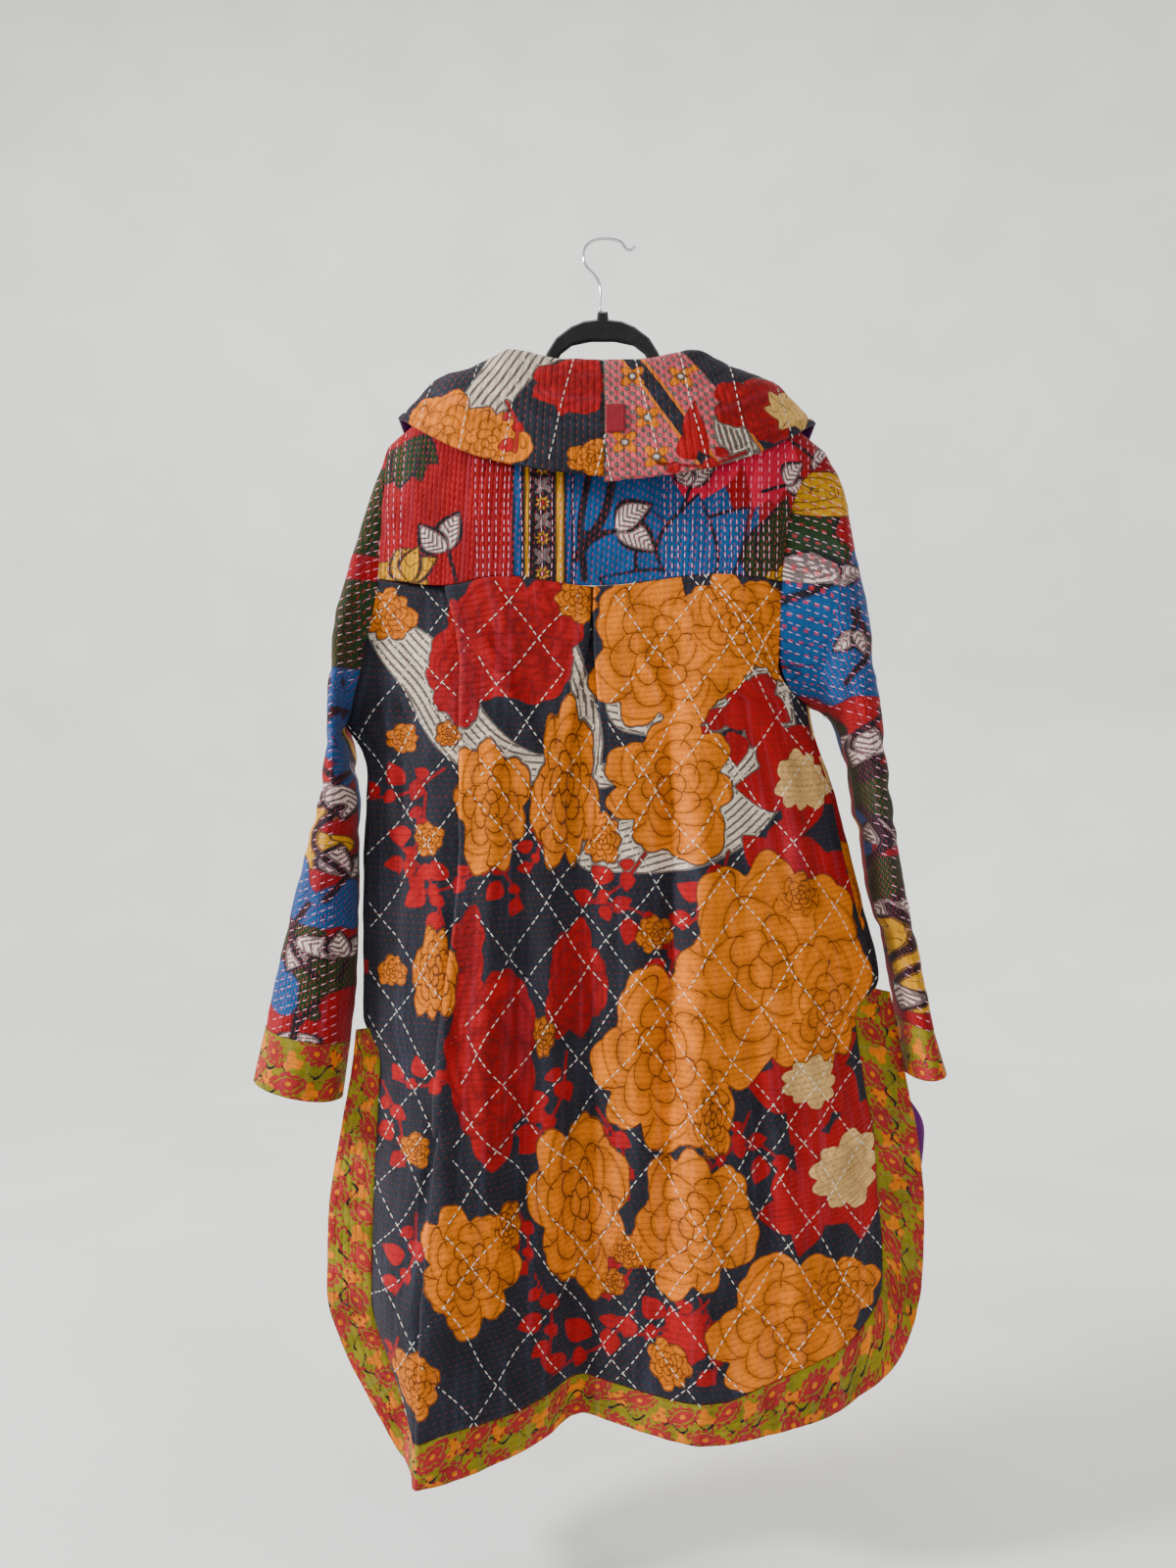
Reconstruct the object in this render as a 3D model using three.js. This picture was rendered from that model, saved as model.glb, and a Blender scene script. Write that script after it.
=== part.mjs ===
import * as THREE from 'three';

// Kantha coat on a hanger, in millimetres, with +Z up. The coat's back faces +Y and the
// wearer's left is +X. The origin is the inside top of the hook, and "down" is the
// distance below it.

// Driving sizes
const CLOTH = 2.4;
const COLLAR_CLOTH = 3;
const TAB_CLOTH = 1.6;
const SEAM_GAP = 0.3;
const BAND_GAP = 0.6;
const ARMHOLE_GAP = 0.8;
const BORDER_GAP = 0.9;
const HANGER_CLEARANCE = 0.95;
const PLEAT_LAYER = 4;
const PLEAT_TURN = 2;
const PLEAT_UNDERLAY = 20;
const HANGER_THICKNESS = 6;
const HOOK_WIRE = 3.3;
const FRONT_DEPTH = 38;
const NECK_HALF_WIDTH = 86;
const NECK_BACK_DEPTH = 29;
const NECK_DROP = 15;
const SHOULDER_ROUNDING = 105;

// Height of the hanger's upper edge at each distance from the middle
const SHOULDER = [
  { out: 62, down: 128 },
  { out: 76, down: 136 },
  { out: 100, down: 144 },
  { out: 140, down: 159 },
  { out: 180, down: 182 },
  { out: 218, down: 213 },
  { out: 232, down: 224 },
];

// Armhole seams from the shoulder to the underarm, on the back and on the front half
const ARMHOLE = {
  left: [
    { down: 208, x: 214, y: 0.15, frontX: 214, frontY: -0.15 },
    { down: 216, x: 214.5, y: 9, frontX: 215, frontY: -8 },
    { down: 232, x: 215, y: 17, frontX: 216, frontY: -15 },
    { down: 255, x: 216, y: 23, frontX: 217, frontY: -21 },
    { down: 295, x: 218, y: 28, frontX: 219, frontY: -26 },
    { down: 347, x: 221.5, y: 30, frontX: 223, frontY: -28 },
    { down: 390, x: 229, y: 28, frontX: 231, frontY: -26 },
    { down: 430, x: 240, y: 22, frontX: 241, frontY: -20 },
    { down: 462, x: 251, y: 13, frontX: 251, frontY: -11 },
    { down: 486, x: 258, y: 2, frontX: 258, frontY: 2 },
  ],
  right: [
    { down: 215.8, x: -224, y: 0.15, frontX: -224, frontY: -0.15 },
    { down: 222, x: -221, y: 10, frontX: -224, frontY: -9 },
    { down: 236, x: -210, y: 22, frontX: -221, frontY: -17 },
    { down: 256, x: -192, y: 33, frontX: -215, frontY: -24 },
    { down: 295, x: -180, y: 41, frontX: -208, frontY: -29 },
    { down: 352, x: -172.5, y: 46, frontX: -203, frontY: -31 },
    { down: 396, x: -171, y: 45, frontX: -201, frontY: -29 },
    { down: 430, x: -172, y: 41, frontX: -201, frontY: -22 },
    { down: 455, x: -184, y: 29, frontX: -203, frontY: -10 },
    { down: 468, x: -205, y: 8, frontX: -205, frontY: 8 },
  ],
};

// Edge of the back panel below the underarm: side seam, then the slit, for each row of points
const SIDE = {
  left: [
    { down: 500, x: 250, y: 3, bulge: 0 },
    { down: 516, x: 240, y: 5, bulge: 1 },
    { down: 545, x: 233.5, y: 9, bulge: 4 },
    { down: 620, x: 232.5, y: 13, bulge: 8 },
    { down: 700, x: 232.5, y: 14, bulge: 9 },
    { down: 782, x: 232.5, y: 14, bulge: 8 },
    { down: 824, x: 220.5, y: 15 },
    { down: 900, x: 225, y: 10 },
    { down: 980, x: 229, y: 6 },
    { down: 1060, x: 231, y: 4 },
    { down: 1100, x: 223, y: 4 },
    { down: 1138, x: 206, y: 10 },
    { down: 1168, x: 187, y: 22 },
  ],
  right: [
    { down: 482, x: -206.5, y: 12, bulge: 0 },
    { down: 505, x: -211, y: 16, bulge: 2 },
    { down: 540, x: -221, y: 18, bulge: 6 },
    { down: 600, x: -234, y: 18, bulge: 10 },
    { down: 665, x: -249, y: 18, bulge: 12 },
    { down: 743, x: -269, y: 18, bulge: 8 },
    { down: 778, x: -250, y: 17 },
    { down: 840, x: -258, y: 15 },
    { down: 900, x: -269, y: 15 },
    { down: 955, x: -272, y: 16 },
    { down: 1005, x: -276, y: 19 },
    { down: 1040, x: -275, y: 23 },
    { down: 1058, x: -269, y: 28 },
  ],
};
const SLIT_ROW = 5;
const SLIT_START = 0.2;

// Outer edge of the back's border beside the slits, one row for each row of SIDE from the slit on
const BACK_BORDER_EDGE = {
  left: [
    { down: 793, x: 246, y: 11 },
    { down: 832, x: 251, y: 8 },
    { down: 900, x: 264, y: 2 },
    { down: 985, x: 277, y: -4 },
    { down: 1060, x: 279, y: -7 },
    { down: 1116, x: 262, y: -3 },
    { down: 1165, x: 232, y: 9 },
    { down: 1208, x: 197, y: 30 },
  ],
  right: [
    { down: 755, x: -286, y: 12 },
    { down: 784, x: -293, y: 9 },
    { down: 845, x: -304, y: 7 },
    { down: 905, x: -316, y: 6 },
    { down: 970, x: -322, y: 6 },
    { down: 1040, x: -319, y: 10 },
    { down: 1100, x: -302, y: 20 },
    { down: 1131, x: -276, y: 30 },
  ],
};

// Inner and outer edges of each front's border beside the slit
const FRONT_SLIT = {
  left: [
    { down: 824, x: 224, y: 2, outDown: 826, outX: 246, outY: -3 },
    { down: 900, x: 226, y: -7, outDown: 898, outX: 260, outY: -14 },
    { down: 980, x: 228, y: -12, outDown: 982, outX: 266, outY: -20 },
    { down: 1040, x: 222, y: -17, outDown: 1062, outX: 254, outY: -24 },
    { down: 1076, x: 200, y: -26, outDown: 1112, outX: 214, outY: -31 },
  ],
  right: [
    { down: 785, x: -257, y: 5, outDown: 788, outX: -286, outY: -3 },
    { down: 846, x: -267, y: -8, outDown: 848, outX: -300, outY: -15 },
    { down: 905, x: -284, y: -17, outDown: 905, outX: -331, outY: -25 },
    { down: 985, x: -276, y: -21, outDown: 988, outX: -321, outY: -27 },
    { down: 1052, x: -258, y: -26, outDown: 1090, outX: -282, outY: -30 },
  ],
};
const FRONT_HEM = { inner: 1090, outer: 1132 };

// Large folds down the back: where each runs and how far it stands off the hanger's plane
const FOLDS = [
  {
    down: 350, ridgeX: -112, ridgeY: 54, valleyX: -55, valleyY: 50,
    centreY: 50, swellX: 80, swellY: 51, knifeX: 155, knifeY: 46,
  },
  {
    down: 424, ridgeX: -105, ridgeY: 56, valleyX: -60, valleyY: 51,
    centreY: 52, swellX: 80, swellY: 53, knifeX: 138, knifeY: 55,
  },
  {
    down: 500, ridgeX: -99, ridgeY: 59, valleyX: -64, valleyY: 52,
    centreY: 53, swellX: 78, swellY: 55, knifeX: 138, knifeY: 57,
  },
  {
    down: 600, ridgeX: -94, ridgeY: 62, valleyX: -64, valleyY: 53,
    centreY: 54, swellX: 76, swellY: 57, knifeX: 138, knifeY: 58,
  },
  {
    down: 700, ridgeX: -90, ridgeY: 63, valleyX: -64, valleyY: 54,
    centreY: 53, swellX: 76, swellY: 58, knifeX: 145, knifeY: 60,
  },
  {
    down: 820, ridgeX: -88, ridgeY: 64, valleyX: -62, valleyY: 55,
    centreY: 50, swellX: 78, swellY: 58, knifeX: 156, knifeY: 66,
  },
  {
    down: 950, ridgeX: -90, ridgeY: 66, valleyX: -55, valleyY: 55,
    centreY: 43, swellX: 82, swellY: 58, knifeX: 166, knifeY: 73,
  },
  {
    down: 1100, ridgeX: -95, ridgeY: 69, valleyX: -42, valleyY: 50,
    centreY: 33, swellX: 88, swellY: 59, knifeX: 174, knifeY: 84,
  },
  {
    down: 1210, ridgeX: -98, ridgeY: 70, valleyX: -36, valleyY: 44,
    centreY: 28, swellX: 90, swellY: 60, knifeX: 177, knifeY: 90,
  },
];

// The inverted pleat's two fold edges and how far it has opened
const CENTRE_PLEAT = [
  { down: 350, rightX: 9, leftX: 12.5, open: 0 },
  { down: 400, rightX: 9, leftX: 14, open: 0 },
  { down: 470, rightX: 9, leftX: 24, open: 0.25 },
  { down: 560, rightX: 10, leftX: 28, open: 0.6 },
  { down: 680, rightX: 12, leftX: 30, open: 1 },
  { down: 1210, rightX: 16, leftX: 36, open: 1 },
];

// Yoke seam and the border's two edges along the hem
const YOKE_SEAM = [
  { x: -173, down: 352 },
  { x: -112, down: 346 },
  { x: 10, down: 357 },
  { x: 97, down: 347 },
  { x: 157, down: 356 },
  { x: 222, down: 347 },
];
const HEM = [
  { x: -269, inner: 1058, outer: 1131 },
  { x: -240, inner: 1087, outer: 1148 },
  { x: -205, inner: 1103, outer: 1160 },
  { x: -166, inner: 1116, outer: 1167 },
  { x: -105, inner: 1136, outer: 1176 },
  { x: -60, inner: 1137, outer: 1177 },
  { x: 20, inner: 1128, outer: 1168 },
  { x: 59, inner: 1143, outer: 1185 },
  { x: 96, inner: 1152, outer: 1194 },
  { x: 138, inner: 1156, outer: 1202 },
  { x: 187, inner: 1168, outer: 1208 },
];

// Sleeve rings below the armhole: the outer and inner lines, half depth and middle plane
const SLEEVE = {
  left: [
    { outX: 232, outDown: 262, inX: 260.5, inDown: 492.5, depth: 37, y: 1 },
    { outX: 249, outDown: 322, inX: 261, inDown: 498, depth: 42, y: 0 },
    { outX: 262, outDown: 380, inX: 259, inDown: 507, depth: 45, y: -1 },
    { outX: 271, outDown: 440, inX: 256, inDown: 521, depth: 46, y: -2 },
    { outX: 275, outDown: 500, inX: 251, inDown: 545, depth: 47, y: -3 },
    { outX: 282, outDown: 556, inX: 248.5, inDown: 580, depth: 47, y: -3 },
    { outX: 295, outDown: 606, inX: 248, inDown: 625, depth: 46, y: -3 },
    { outX: 311, outDown: 670, inX: 248.5, inDown: 684, depth: 45, y: -3 },
    { outX: 325, outDown: 730, inX: 250, inDown: 744, depth: 43, y: -3 },
    { outX: 338, outDown: 790, inX: 256, inDown: 806, depth: 42, y: -3 },
  ],
  right: [
    { outX: -238, outDown: 250, inX: -211, inDown: 472, depth: 49, y: 5 },
    { outX: -247, outDown: 300, inX: -217, inDown: 474, depth: 53, y: 3 },
    { outX: -256, outDown: 355, inX: -224, inDown: 478, depth: 54, y: 3 },
    { outX: -265, outDown: 412, inX: -231, inDown: 485, depth: 53, y: 2 },
    { outX: -275, outDown: 468, inX: -239, inDown: 498, depth: 51, y: 1 },
    { outX: -282, outDown: 530, inX: -249, inDown: 536, depth: 50, y: 0 },
    { outX: -290, outDown: 595, inX: -261, inDown: 592, depth: 49, y: 0 },
    { outX: -302, outDown: 655, inX: -270, inDown: 652, depth: 48, y: 0 },
    { outX: -314, outDown: 715, inX: -286, inDown: 710, depth: 47, y: 0 },
    { outX: -327, outDown: 790, inX: -299, inDown: 782, depth: 46, y: 0 },
  ],
};
const CUFF = {
  left: { outX: 350, outDown: 843, inX: 264, inDown: 864, depth: 45, y: -3 },
  right: { outX: -340, outDown: 832, inX: -306, inDown: 838, depth: 49, y: 0 },
};

// Collar sections round the neck, from the centre back to the collar's end on the front: where
// each starts on the neckline, the top of its roll, its outer edge, and the swell of its fall
const COLLAR = [
  {
    at: 0, neckX: 0, rollX: 0, rollY: 33, rollDown: 135,
    edgeX: 0, edgeY: 79, edgeDown: 258, belly: 5,
  },
  {
    at: 1, neckX: 34, rollX: 37, rollY: 32, rollDown: 134,
    edgeX: 38, edgeY: 79, edgeDown: 254, belly: 5,
  },
  {
    at: 2, neckX: 62, rollX: 68, rollY: 27, rollDown: 126.5,
    edgeX: 82, edgeY: 73, edgeDown: 246, belly: 8,
  },
  {
    at: 3, neckX: 80, rollX: 92, rollY: 17, rollDown: 119,
    edgeX: 124, edgeY: 62, edgeDown: 233, belly: 14,
  },
  {
    at: 4, neckDown: 140, rollX: 103, rollY: 2, rollDown: 120,
    edgeX: 158, edgeY: 49, edgeDown: 216, belly: 22,
  },
  {
    at: 5, neckDown: 146, rollX: 104, rollY: -12, rollDown: 125,
    edgeX: 188, edgeY: 28, edgeDown: 195, belly: 24,
  },
  {
    at: 6, neckDown: 158, rollX: 99, rollY: -30, rollDown: 136,
    edgeX: 204, edgeY: 4, edgeDown: 182, belly: 22,
  },
  {
    at: 7, neckDown: 182, rollX: 86, rollY: -43, rollDown: 164,
    edgeX: 196, edgeY: -26, edgeDown: 210, belly: 14,
  },
  {
    at: 8, neckDown: 232, rollX: 61, rollY: -47, rollDown: 222,
    edgeX: 158, edgeY: -46, edgeDown: 275, belly: 1,
  },
  {
    at: 9, neckDown: 310, rollX: 40, rollY: -47, rollDown: 305,
    edgeX: 112, edgeY: -46, edgeDown: 350, belly: 0,
  },
  {
    at: 10, neckDown: 400, rollX: 21, rollY: -47, rollDown: 397,
    edgeX: 60, edgeY: -46, edgeDown: 428, belly: 0,
  },
  {
    at: 11, neckDown: 466, rollX: 8, rollY: -47, rollDown: 466,
    edgeX: 24, edgeY: -46, edgeDown: 482, belly: 0,
  },
];
const NECK_CORNER = { section: 3.4, reach: 1.6, rise: 2.8 };
const COLLAR_ROLL = { reach: 9, rise: 3, swellOut: 0.4, swellUp: 0.75 };
const BACK_SECTIONS = 3;
const COLLAR_SIDE = {
  left: { sign: 1, spread: 1, droop: 0 },
  right: { sign: -1, spread: 1.045, droop: 5 },
};
const TAB = { from: 0.06, to: 0.52, top: 0.71, bottom: 0.82 };

// Route of the hook's wire, and the upper and lower outline of the hanger's neck and arm
const HOOK_ROUTE = [
  { x: 2, down: 72 },
  { x: 2.5, down: 46 },
  { x: 8.5, down: 35.5 },
  { x: 16.3, down: 27 },
  { x: 19, down: 16 },
  { x: 16, down: 5.5 },
  { x: 8, down: 0 },
  { x: -2, down: -1.35 },
  { x: -12, down: -0.5 },
  { x: -19, down: 3 },
  { x: -23.4, down: 9 },
  { x: -28, down: 10 },
  { x: -32.6, down: 6.6 },
];
const HANGER_NECK = [
  { x: 5, down: 72 },
  { x: 6, down: 80 },
  { x: 19, down: 81.5 },
  { x: 32, down: 87 },
  { x: 47, down: 98.5 },
  { x: 56, down: 113 },
];
const HANGER_ARCH = [
  { x: 72, down: 152 },
  { x: 56, down: 140 },
  { x: 47, down: 124 },
  { x: 42, down: 115 },
  { x: 31, down: 106.5 },
  { x: 12, down: 102.5 },
];
const HANGER_ARM = { start: 62, end: 200, height: 20, steps: 7, tip: 5, bevel: 2.5 };

// Front neckline from the shoulder to where the fronts run straight down
const FRONT_NECK = [
  { down: 130, x: 86 },
  { down: 140, x: 85.8 },
  { down: 158, x: 82 },
  { down: 182, x: 76 },
  { down: 232, x: 62 },
  { down: 310, x: 43 },
  { down: 400, x: 24 },
  { down: 470, x: 8 },
  { down: 1200, x: 8 },
];

// Finishes, as colour, roughness and metalness
const FINISH = {
  print: { color: 0x7a2a30, roughness: 0.9, metalness: 0 },
  body: { color: 0x2c3138, roughness: 0.9, metalness: 0 },
  border: { color: 0x8f8c2c, roughness: 0.9, metalness: 0 },
  sleeve: { color: 0x2f5f4a, roughness: 0.9, metalness: 0 },
  collar: { color: 0xbfae9c, roughness: 0.9, metalness: 0 },
  tab: { color: 0x6a1a22, roughness: 0.9, metalness: 0 },
  flock: { color: 0x141414, roughness: 0.95, metalness: 0 },
  chrome: { color: 0xc8c8c8, roughness: 0.2, metalness: 1 },
};

const BACK_COLUMNS = { right: 12, middle: 7, left: 6 };
const FRONT_COLUMNS = { flat: 6, turn: 4 };
const FRONT_TURN = 28;
const SLIT_TURN = { radius: 60, angle: 0.9 };
const SHOULDER_SLOPE = { fall: 180, power: 1.5, edgeFall: 60, edgeShare: 0.6 };
const BORDER_CORNER = 6;
const NEAR_HEM = 1150;
const RIGHT_SWELL = { x: 0.28, y: 0.6 };
const LEFT_SWELL = { x: 0.6, y: 0.42 };
const YOKE_COLUMNS = 24;
const YOKE_ROWS = 6;
const COLLAR_COLUMNS = 9;
const COLLAR_ROWS = 22;
const BORDER_STEPS = 2;
const HOOK_SIDES = 10;
const HOOK_STEPS = 40;

const mix = THREE.MathUtils.lerp;

function point(x, y, down) {
  return new THREE.Vector3(x, y, -down);
}

// Slope of a column at one row, flat where the column turns, so that a curve never overshoots
function slopeAt(rows, key, column, index) {
  const rise = (low, high) => {
    const change = rows[high][column] - rows[low][column];
    return change / (rows[high][key] - rows[low][key]);
  };
  const last = rows.length - 1;
  if (index === 0) return rise(0, 1);
  if (index === last) return rise(last - 1, last);
  const before = rise(index - 1, index);
  const after = rise(index, index + 1);
  return before * after <= 0 ? 0 : (2 * before * after) / (before + after);
}

// A column's value at a place between the rows of a table, on a smooth curve
function along(rows, key, place, column) {
  const last = rows.length - 1;
  let index = 0;
  while (index < last - 1 && place > rows[index + 1][key]) index += 1;
  const low = rows[index];
  const high = rows[index + 1];
  const span = high[key] - low[key];
  const t = THREE.MathUtils.clamp((place - low[key]) / span, 0, 1);
  const rising = t * t * (3 - 2 * t);
  const startPull = t * (1 - t) * (1 - t) * span * slopeAt(rows, key, column, index);
  const endPull = t * t * (t - 1) * span * slopeAt(rows, key, column, index + 1);
  return mix(low[column], high[column], rising) + startPull + endPull;
}

// Direction of travel at a point between its two neighbours
function heading(before, at, after) {
  const tangent = new THREE.Vector3();
  if (before) tangent.add(at.clone().sub(before).normalize());
  if (after) tangent.add(after.clone().sub(at).normalize());
  return tangent;
}

// Surface direction at each point of a grid; a closed grid joins its last column to its first
function gridNormals(grid, closed) {
  return grid.map((row, i) => row.map((at, j) => {
    const before = closed ? row[(j + row.length - 1) % row.length] : row[j - 1];
    const after = closed ? row[(j + 1) % row.length] : row[j + 1];
    const across = heading(before, at, after);
    const downward = heading(grid[i - 1]?.[j], at, grid[i + 1]?.[j]);
    return across.cross(downward).normalize();
  }));
}

function signedVolume(vertices, faces) {
  const corner = (index) => new THREE.Vector3().fromArray(vertices, index * 3);
  let volume = 0;
  for (let k = 0; k < faces.length; k += 3) {
    volume += corner(faces[k]).dot(corner(faces[k + 1]).cross(corner(faces[k + 2])));
  }
  return volume / 6;
}

// A closed wall of cloth that lies half on each side of a grid of points
function wall(grid, normals, thickness, closed = false) {
  const rows = grid.length;
  const columns = grid[0].length;
  const vertices = [];
  for (const side of [0.5, -0.5]) {
    grid.forEach((row, i) => row.forEach((at, j) => {
      vertices.push(...at.clone().addScaledVector(normals[i][j], side * thickness).toArray());
    }));
  }
  const id = (side, i, j) => side * rows * columns + i * columns + (j % columns);
  const faces = [];
  const quad = (a, b, c, d) => faces.push(a, b, c, a, c, d);
  const spans = closed ? columns : columns - 1;
  const end = rows - 1;
  for (let j = 0; j < spans; j += 1) {
    for (let i = 0; i < end; i += 1) {
      quad(id(0, i, j), id(0, i, j + 1), id(0, i + 1, j + 1), id(0, i + 1, j));
      quad(id(1, i, j), id(1, i + 1, j), id(1, i + 1, j + 1), id(1, i, j + 1));
    }
    quad(id(1, 0, j), id(1, 0, j + 1), id(0, 0, j + 1), id(0, 0, j));
    quad(id(0, end, j), id(0, end, j + 1), id(1, end, j + 1), id(1, end, j));
  }
  const edge = columns - 1;
  for (let i = 0; i < end && !closed; i += 1) {
    quad(id(0, i, 0), id(0, i + 1, 0), id(1, i + 1, 0), id(1, i, 0));
    quad(id(1, i, edge), id(1, i + 1, edge), id(0, i + 1, edge), id(0, i, edge));
  }
  if (signedVolume(vertices, faces) < 0) {
    faces.reverse();
  }
  const geometry = new THREE.BufferGeometry();
  geometry.setAttribute('position', new THREE.Float32BufferAttribute(vertices, 3));
  geometry.setIndex(faces);
  return geometry;
}

// Shoulder line of the cloth's middle, which rests on the hanger
function shoulderDown(x) {
  return along(SHOULDER, 'out', Math.abs(x), 'down') - HANGER_CLEARANCE - CLOTH / 2;
}

// Upper edge of the back: the round back neckline, then the shoulder seam
function backTop(x) {
  const share = Math.abs(x) / NECK_HALF_WIDTH;
  if (share >= 1) return point(x, SEAM_GAP / 2, shoulderDown(x));
  const round = Math.sqrt(1 - share * share);
  const neckPoint = shoulderDown(NECK_HALF_WIDTH);
  return point(x, SEAM_GAP / 2 + NECK_BACK_DEPTH * round, neckPoint + NECK_DROP * round);
}

// Edge rows of one side, from the underarm to the hem
function sideRows(side) {
  return ARMHOLE[side].slice(YOKE_ROWS - 1).concat(SIDE[side]);
}

// The stations across the back at one height: seams, folds and how far each stands off
function stations(down) {
  const fold = (column) => along(FOLDS, 'down', down, column);
  const edgeOf = (rows) => ({ x: along(rows, 'down', down, 'x'), y: along(rows, 'down', down, 'y') });
  const right = edgeOf(RIGHT_ROWS);
  const left = edgeOf(LEFT_ROWS);
  const pleat = (column) => along(CENTRE_PLEAT, 'down', down, column);
  const ridge = { x: fold('ridgeX'), y: fold('ridgeY') };
  const knife = { x: fold('knifeX'), y: fold('knifeY') };
  const centre = { x: (pleat('rightX') + pleat('leftX')) / 2, y: fold('centreY') };
  return {
    right,
    left,
    knife,
    pleatRight: pleat('rightX'),
    pleatLeft: pleat('leftX'),
    open: pleat('open'),
    centre,
    profile: [
      right,
      { x: mix(right.x, ridge.x, RIGHT_SWELL.x), y: mix(right.y, ridge.y, RIGHT_SWELL.y) },
      ridge,
      { x: fold('valleyX'), y: fold('valleyY') },
      centre,
      { x: fold('swellX'), y: fold('swellY') },
      knife,
      { x: mix(knife.x, left.x, LEFT_SWELL.x), y: mix(knife.y, left.y, LEFT_SWELL.y) },
      left,
    ],
  };
}

const RIGHT_ROWS = sideRows('right');
const LEFT_ROWS = sideRows('left');

// Points of one fold over: how far each is set back from the fold edge, and its layer
const FOLD_OVER = [
  { inset: PLEAT_TURN, layer: 0 },
  { inset: 0, layer: 0.5 },
  { inset: PLEAT_TURN, layer: 1 },
  { inset: PLEAT_UNDERLAY - PLEAT_TURN, layer: 1 },
  { inset: PLEAT_UNDERLAY, layer: 1.5 },
  { inset: PLEAT_UNDERLAY - PLEAT_TURN, layer: 2 },
];
const OPEN_PLEAT = { halfWidth: 30, step: 5, depth: 5 };

// Columns across the back, from the right seam to the left seam
function backColumns() {
  const columns = [];
  for (let k = 0; k < BACK_COLUMNS.right; k += 1) {
    columns.push({ zone: 'right', share: k / BACK_COLUMNS.right });
  }
  FOLD_OVER.forEach((turn, k) => columns.push({ zone: 'pleat', side: -1, turn, k }));
  FOLD_OVER.toReversed().forEach((turn, k) => {
    columns.push({ zone: 'pleat', side: 1, turn, k: FOLD_OVER.length - 1 - k });
  });
  for (let k = 1; k < BACK_COLUMNS.middle; k += 1) {
    columns.push({ zone: 'middle', share: k / BACK_COLUMNS.middle });
  }
  FOLD_OVER.forEach((turn) => columns.push({ zone: 'knife', turn }));
  for (let k = 1; k <= BACK_COLUMNS.left; k += 1) {
    columns.push({ zone: 'left', share: k / BACK_COLUMNS.left });
  }
  return columns;
}

// A pleat point across the back and its depth below the outer layer
function pleatPlace(column, now) {
  const edge = column.side < 0 ? now.pleatRight : now.pleatLeft;
  const closedX = edge + column.side * column.turn.inset;
  const openX = now.centre.x + column.side * (OPEN_PLEAT.halfWidth - OPEN_PLEAT.step * column.k);
  const ease = THREE.MathUtils.smoothstep(column.k, 0, FOLD_OVER.length - 1);
  return {
    x: mix(closedX, openX, now.open),
    drop: mix(column.turn.layer * PLEAT_LAYER, ease * OPEN_PLEAT.depth, now.open),
  };
}

// One point of the back's cloth, in a column and at a height
function backPoint(column, down) {
  const now = stations(down);
  const pleatStart = pleatPlace({ side: -1, turn: FOLD_OVER[0], k: 0 }, now).x;
  const pleatEnd = pleatPlace({ side: 1, turn: FOLD_OVER[0], k: 0 }, now).x;
  const underEdge = now.knife.x - PLEAT_UNDERLAY + PLEAT_TURN;
  let x;
  let drop = 0;
  if (column.zone === 'right') x = mix(now.right.x, pleatStart, column.share);
  if (column.zone === 'middle') x = mix(pleatEnd, now.knife.x - PLEAT_TURN, column.share);
  if (column.zone === 'left') {
    x = mix(underEdge, now.left.x, column.share);
    drop = 2 * PLEAT_LAYER * (1 - column.share * column.share);
  }
  if (column.zone === 'pleat') ({ x, drop } = pleatPlace(column, now));
  if (column.zone === 'knife') {
    x = now.knife.x - column.turn.inset;
    drop = column.turn.layer * PLEAT_LAYER;
  }
  return point(x, along(now.profile, 'x', x, 'y') - drop, down);
}

// Height of a row of the back in a column: set at both seams, and bent to the yoke seam
// at the top and to the hem at the bottom
function backRowDown(row, column, nominal) {
  const end = LEFT_ROWS.length - 1;
  const share = (nominal.x - nominal.right) / (nominal.left - nominal.right);
  const straight = (index) => mix(RIGHT_ROWS[index].down, LEFT_ROWS[index].down, share);
  const topBend = along(YOKE_SEAM, 'x', nominal.topX, 'down') - straight(0);
  const hemBend = along(HEM, 'x', nominal.x, 'inner') - straight(end);
  const progress = row / end;
  return straight(row) + topBend * (1 - progress) ** 3 + hemBend * progress ** 3;
}

// Where a column stands near the hem and at the yoke seam
function nominalPlace(column) {
  const now = stations(NEAR_HEM);
  return {
    x: column.zone === 'knife' ? now.knife.x : backPoint(column, NEAR_HEM).x,
    right: now.right.x,
    left: now.left.x,
    topX: backPoint(column, ARMHOLE.left[YOKE_ROWS - 1].down).x,
  };
}

function backGrid() {
  const columns = backColumns();
  const places = columns.map(nominalPlace);
  return LEFT_ROWS.map((left, row) => columns.map((column, j) => {
    const right = RIGHT_ROWS[row];
    if (j === 0) return point(right.x, right.y, right.down);
    if (j === columns.length - 1) return point(left.x, left.y, left.down);
    return backPoint(column, backRowDown(row, column, places[j]));
  }));
}

// A strip of border between an inner and an outer line, parted from the panel by the seam gap
function borderGrid(inner, outer) {
  const rows = [];
  for (let step = 0; step <= BORDER_STEPS; step += 1) {
    rows.push(inner.map((from, k) => {
      const gapShare = BORDER_GAP / from.distanceTo(outer[k]);
      return from.clone().lerp(outer[k], mix(gapShare, 1, step / BORDER_STEPS));
    }));
  }
  return rows;
}

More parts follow.
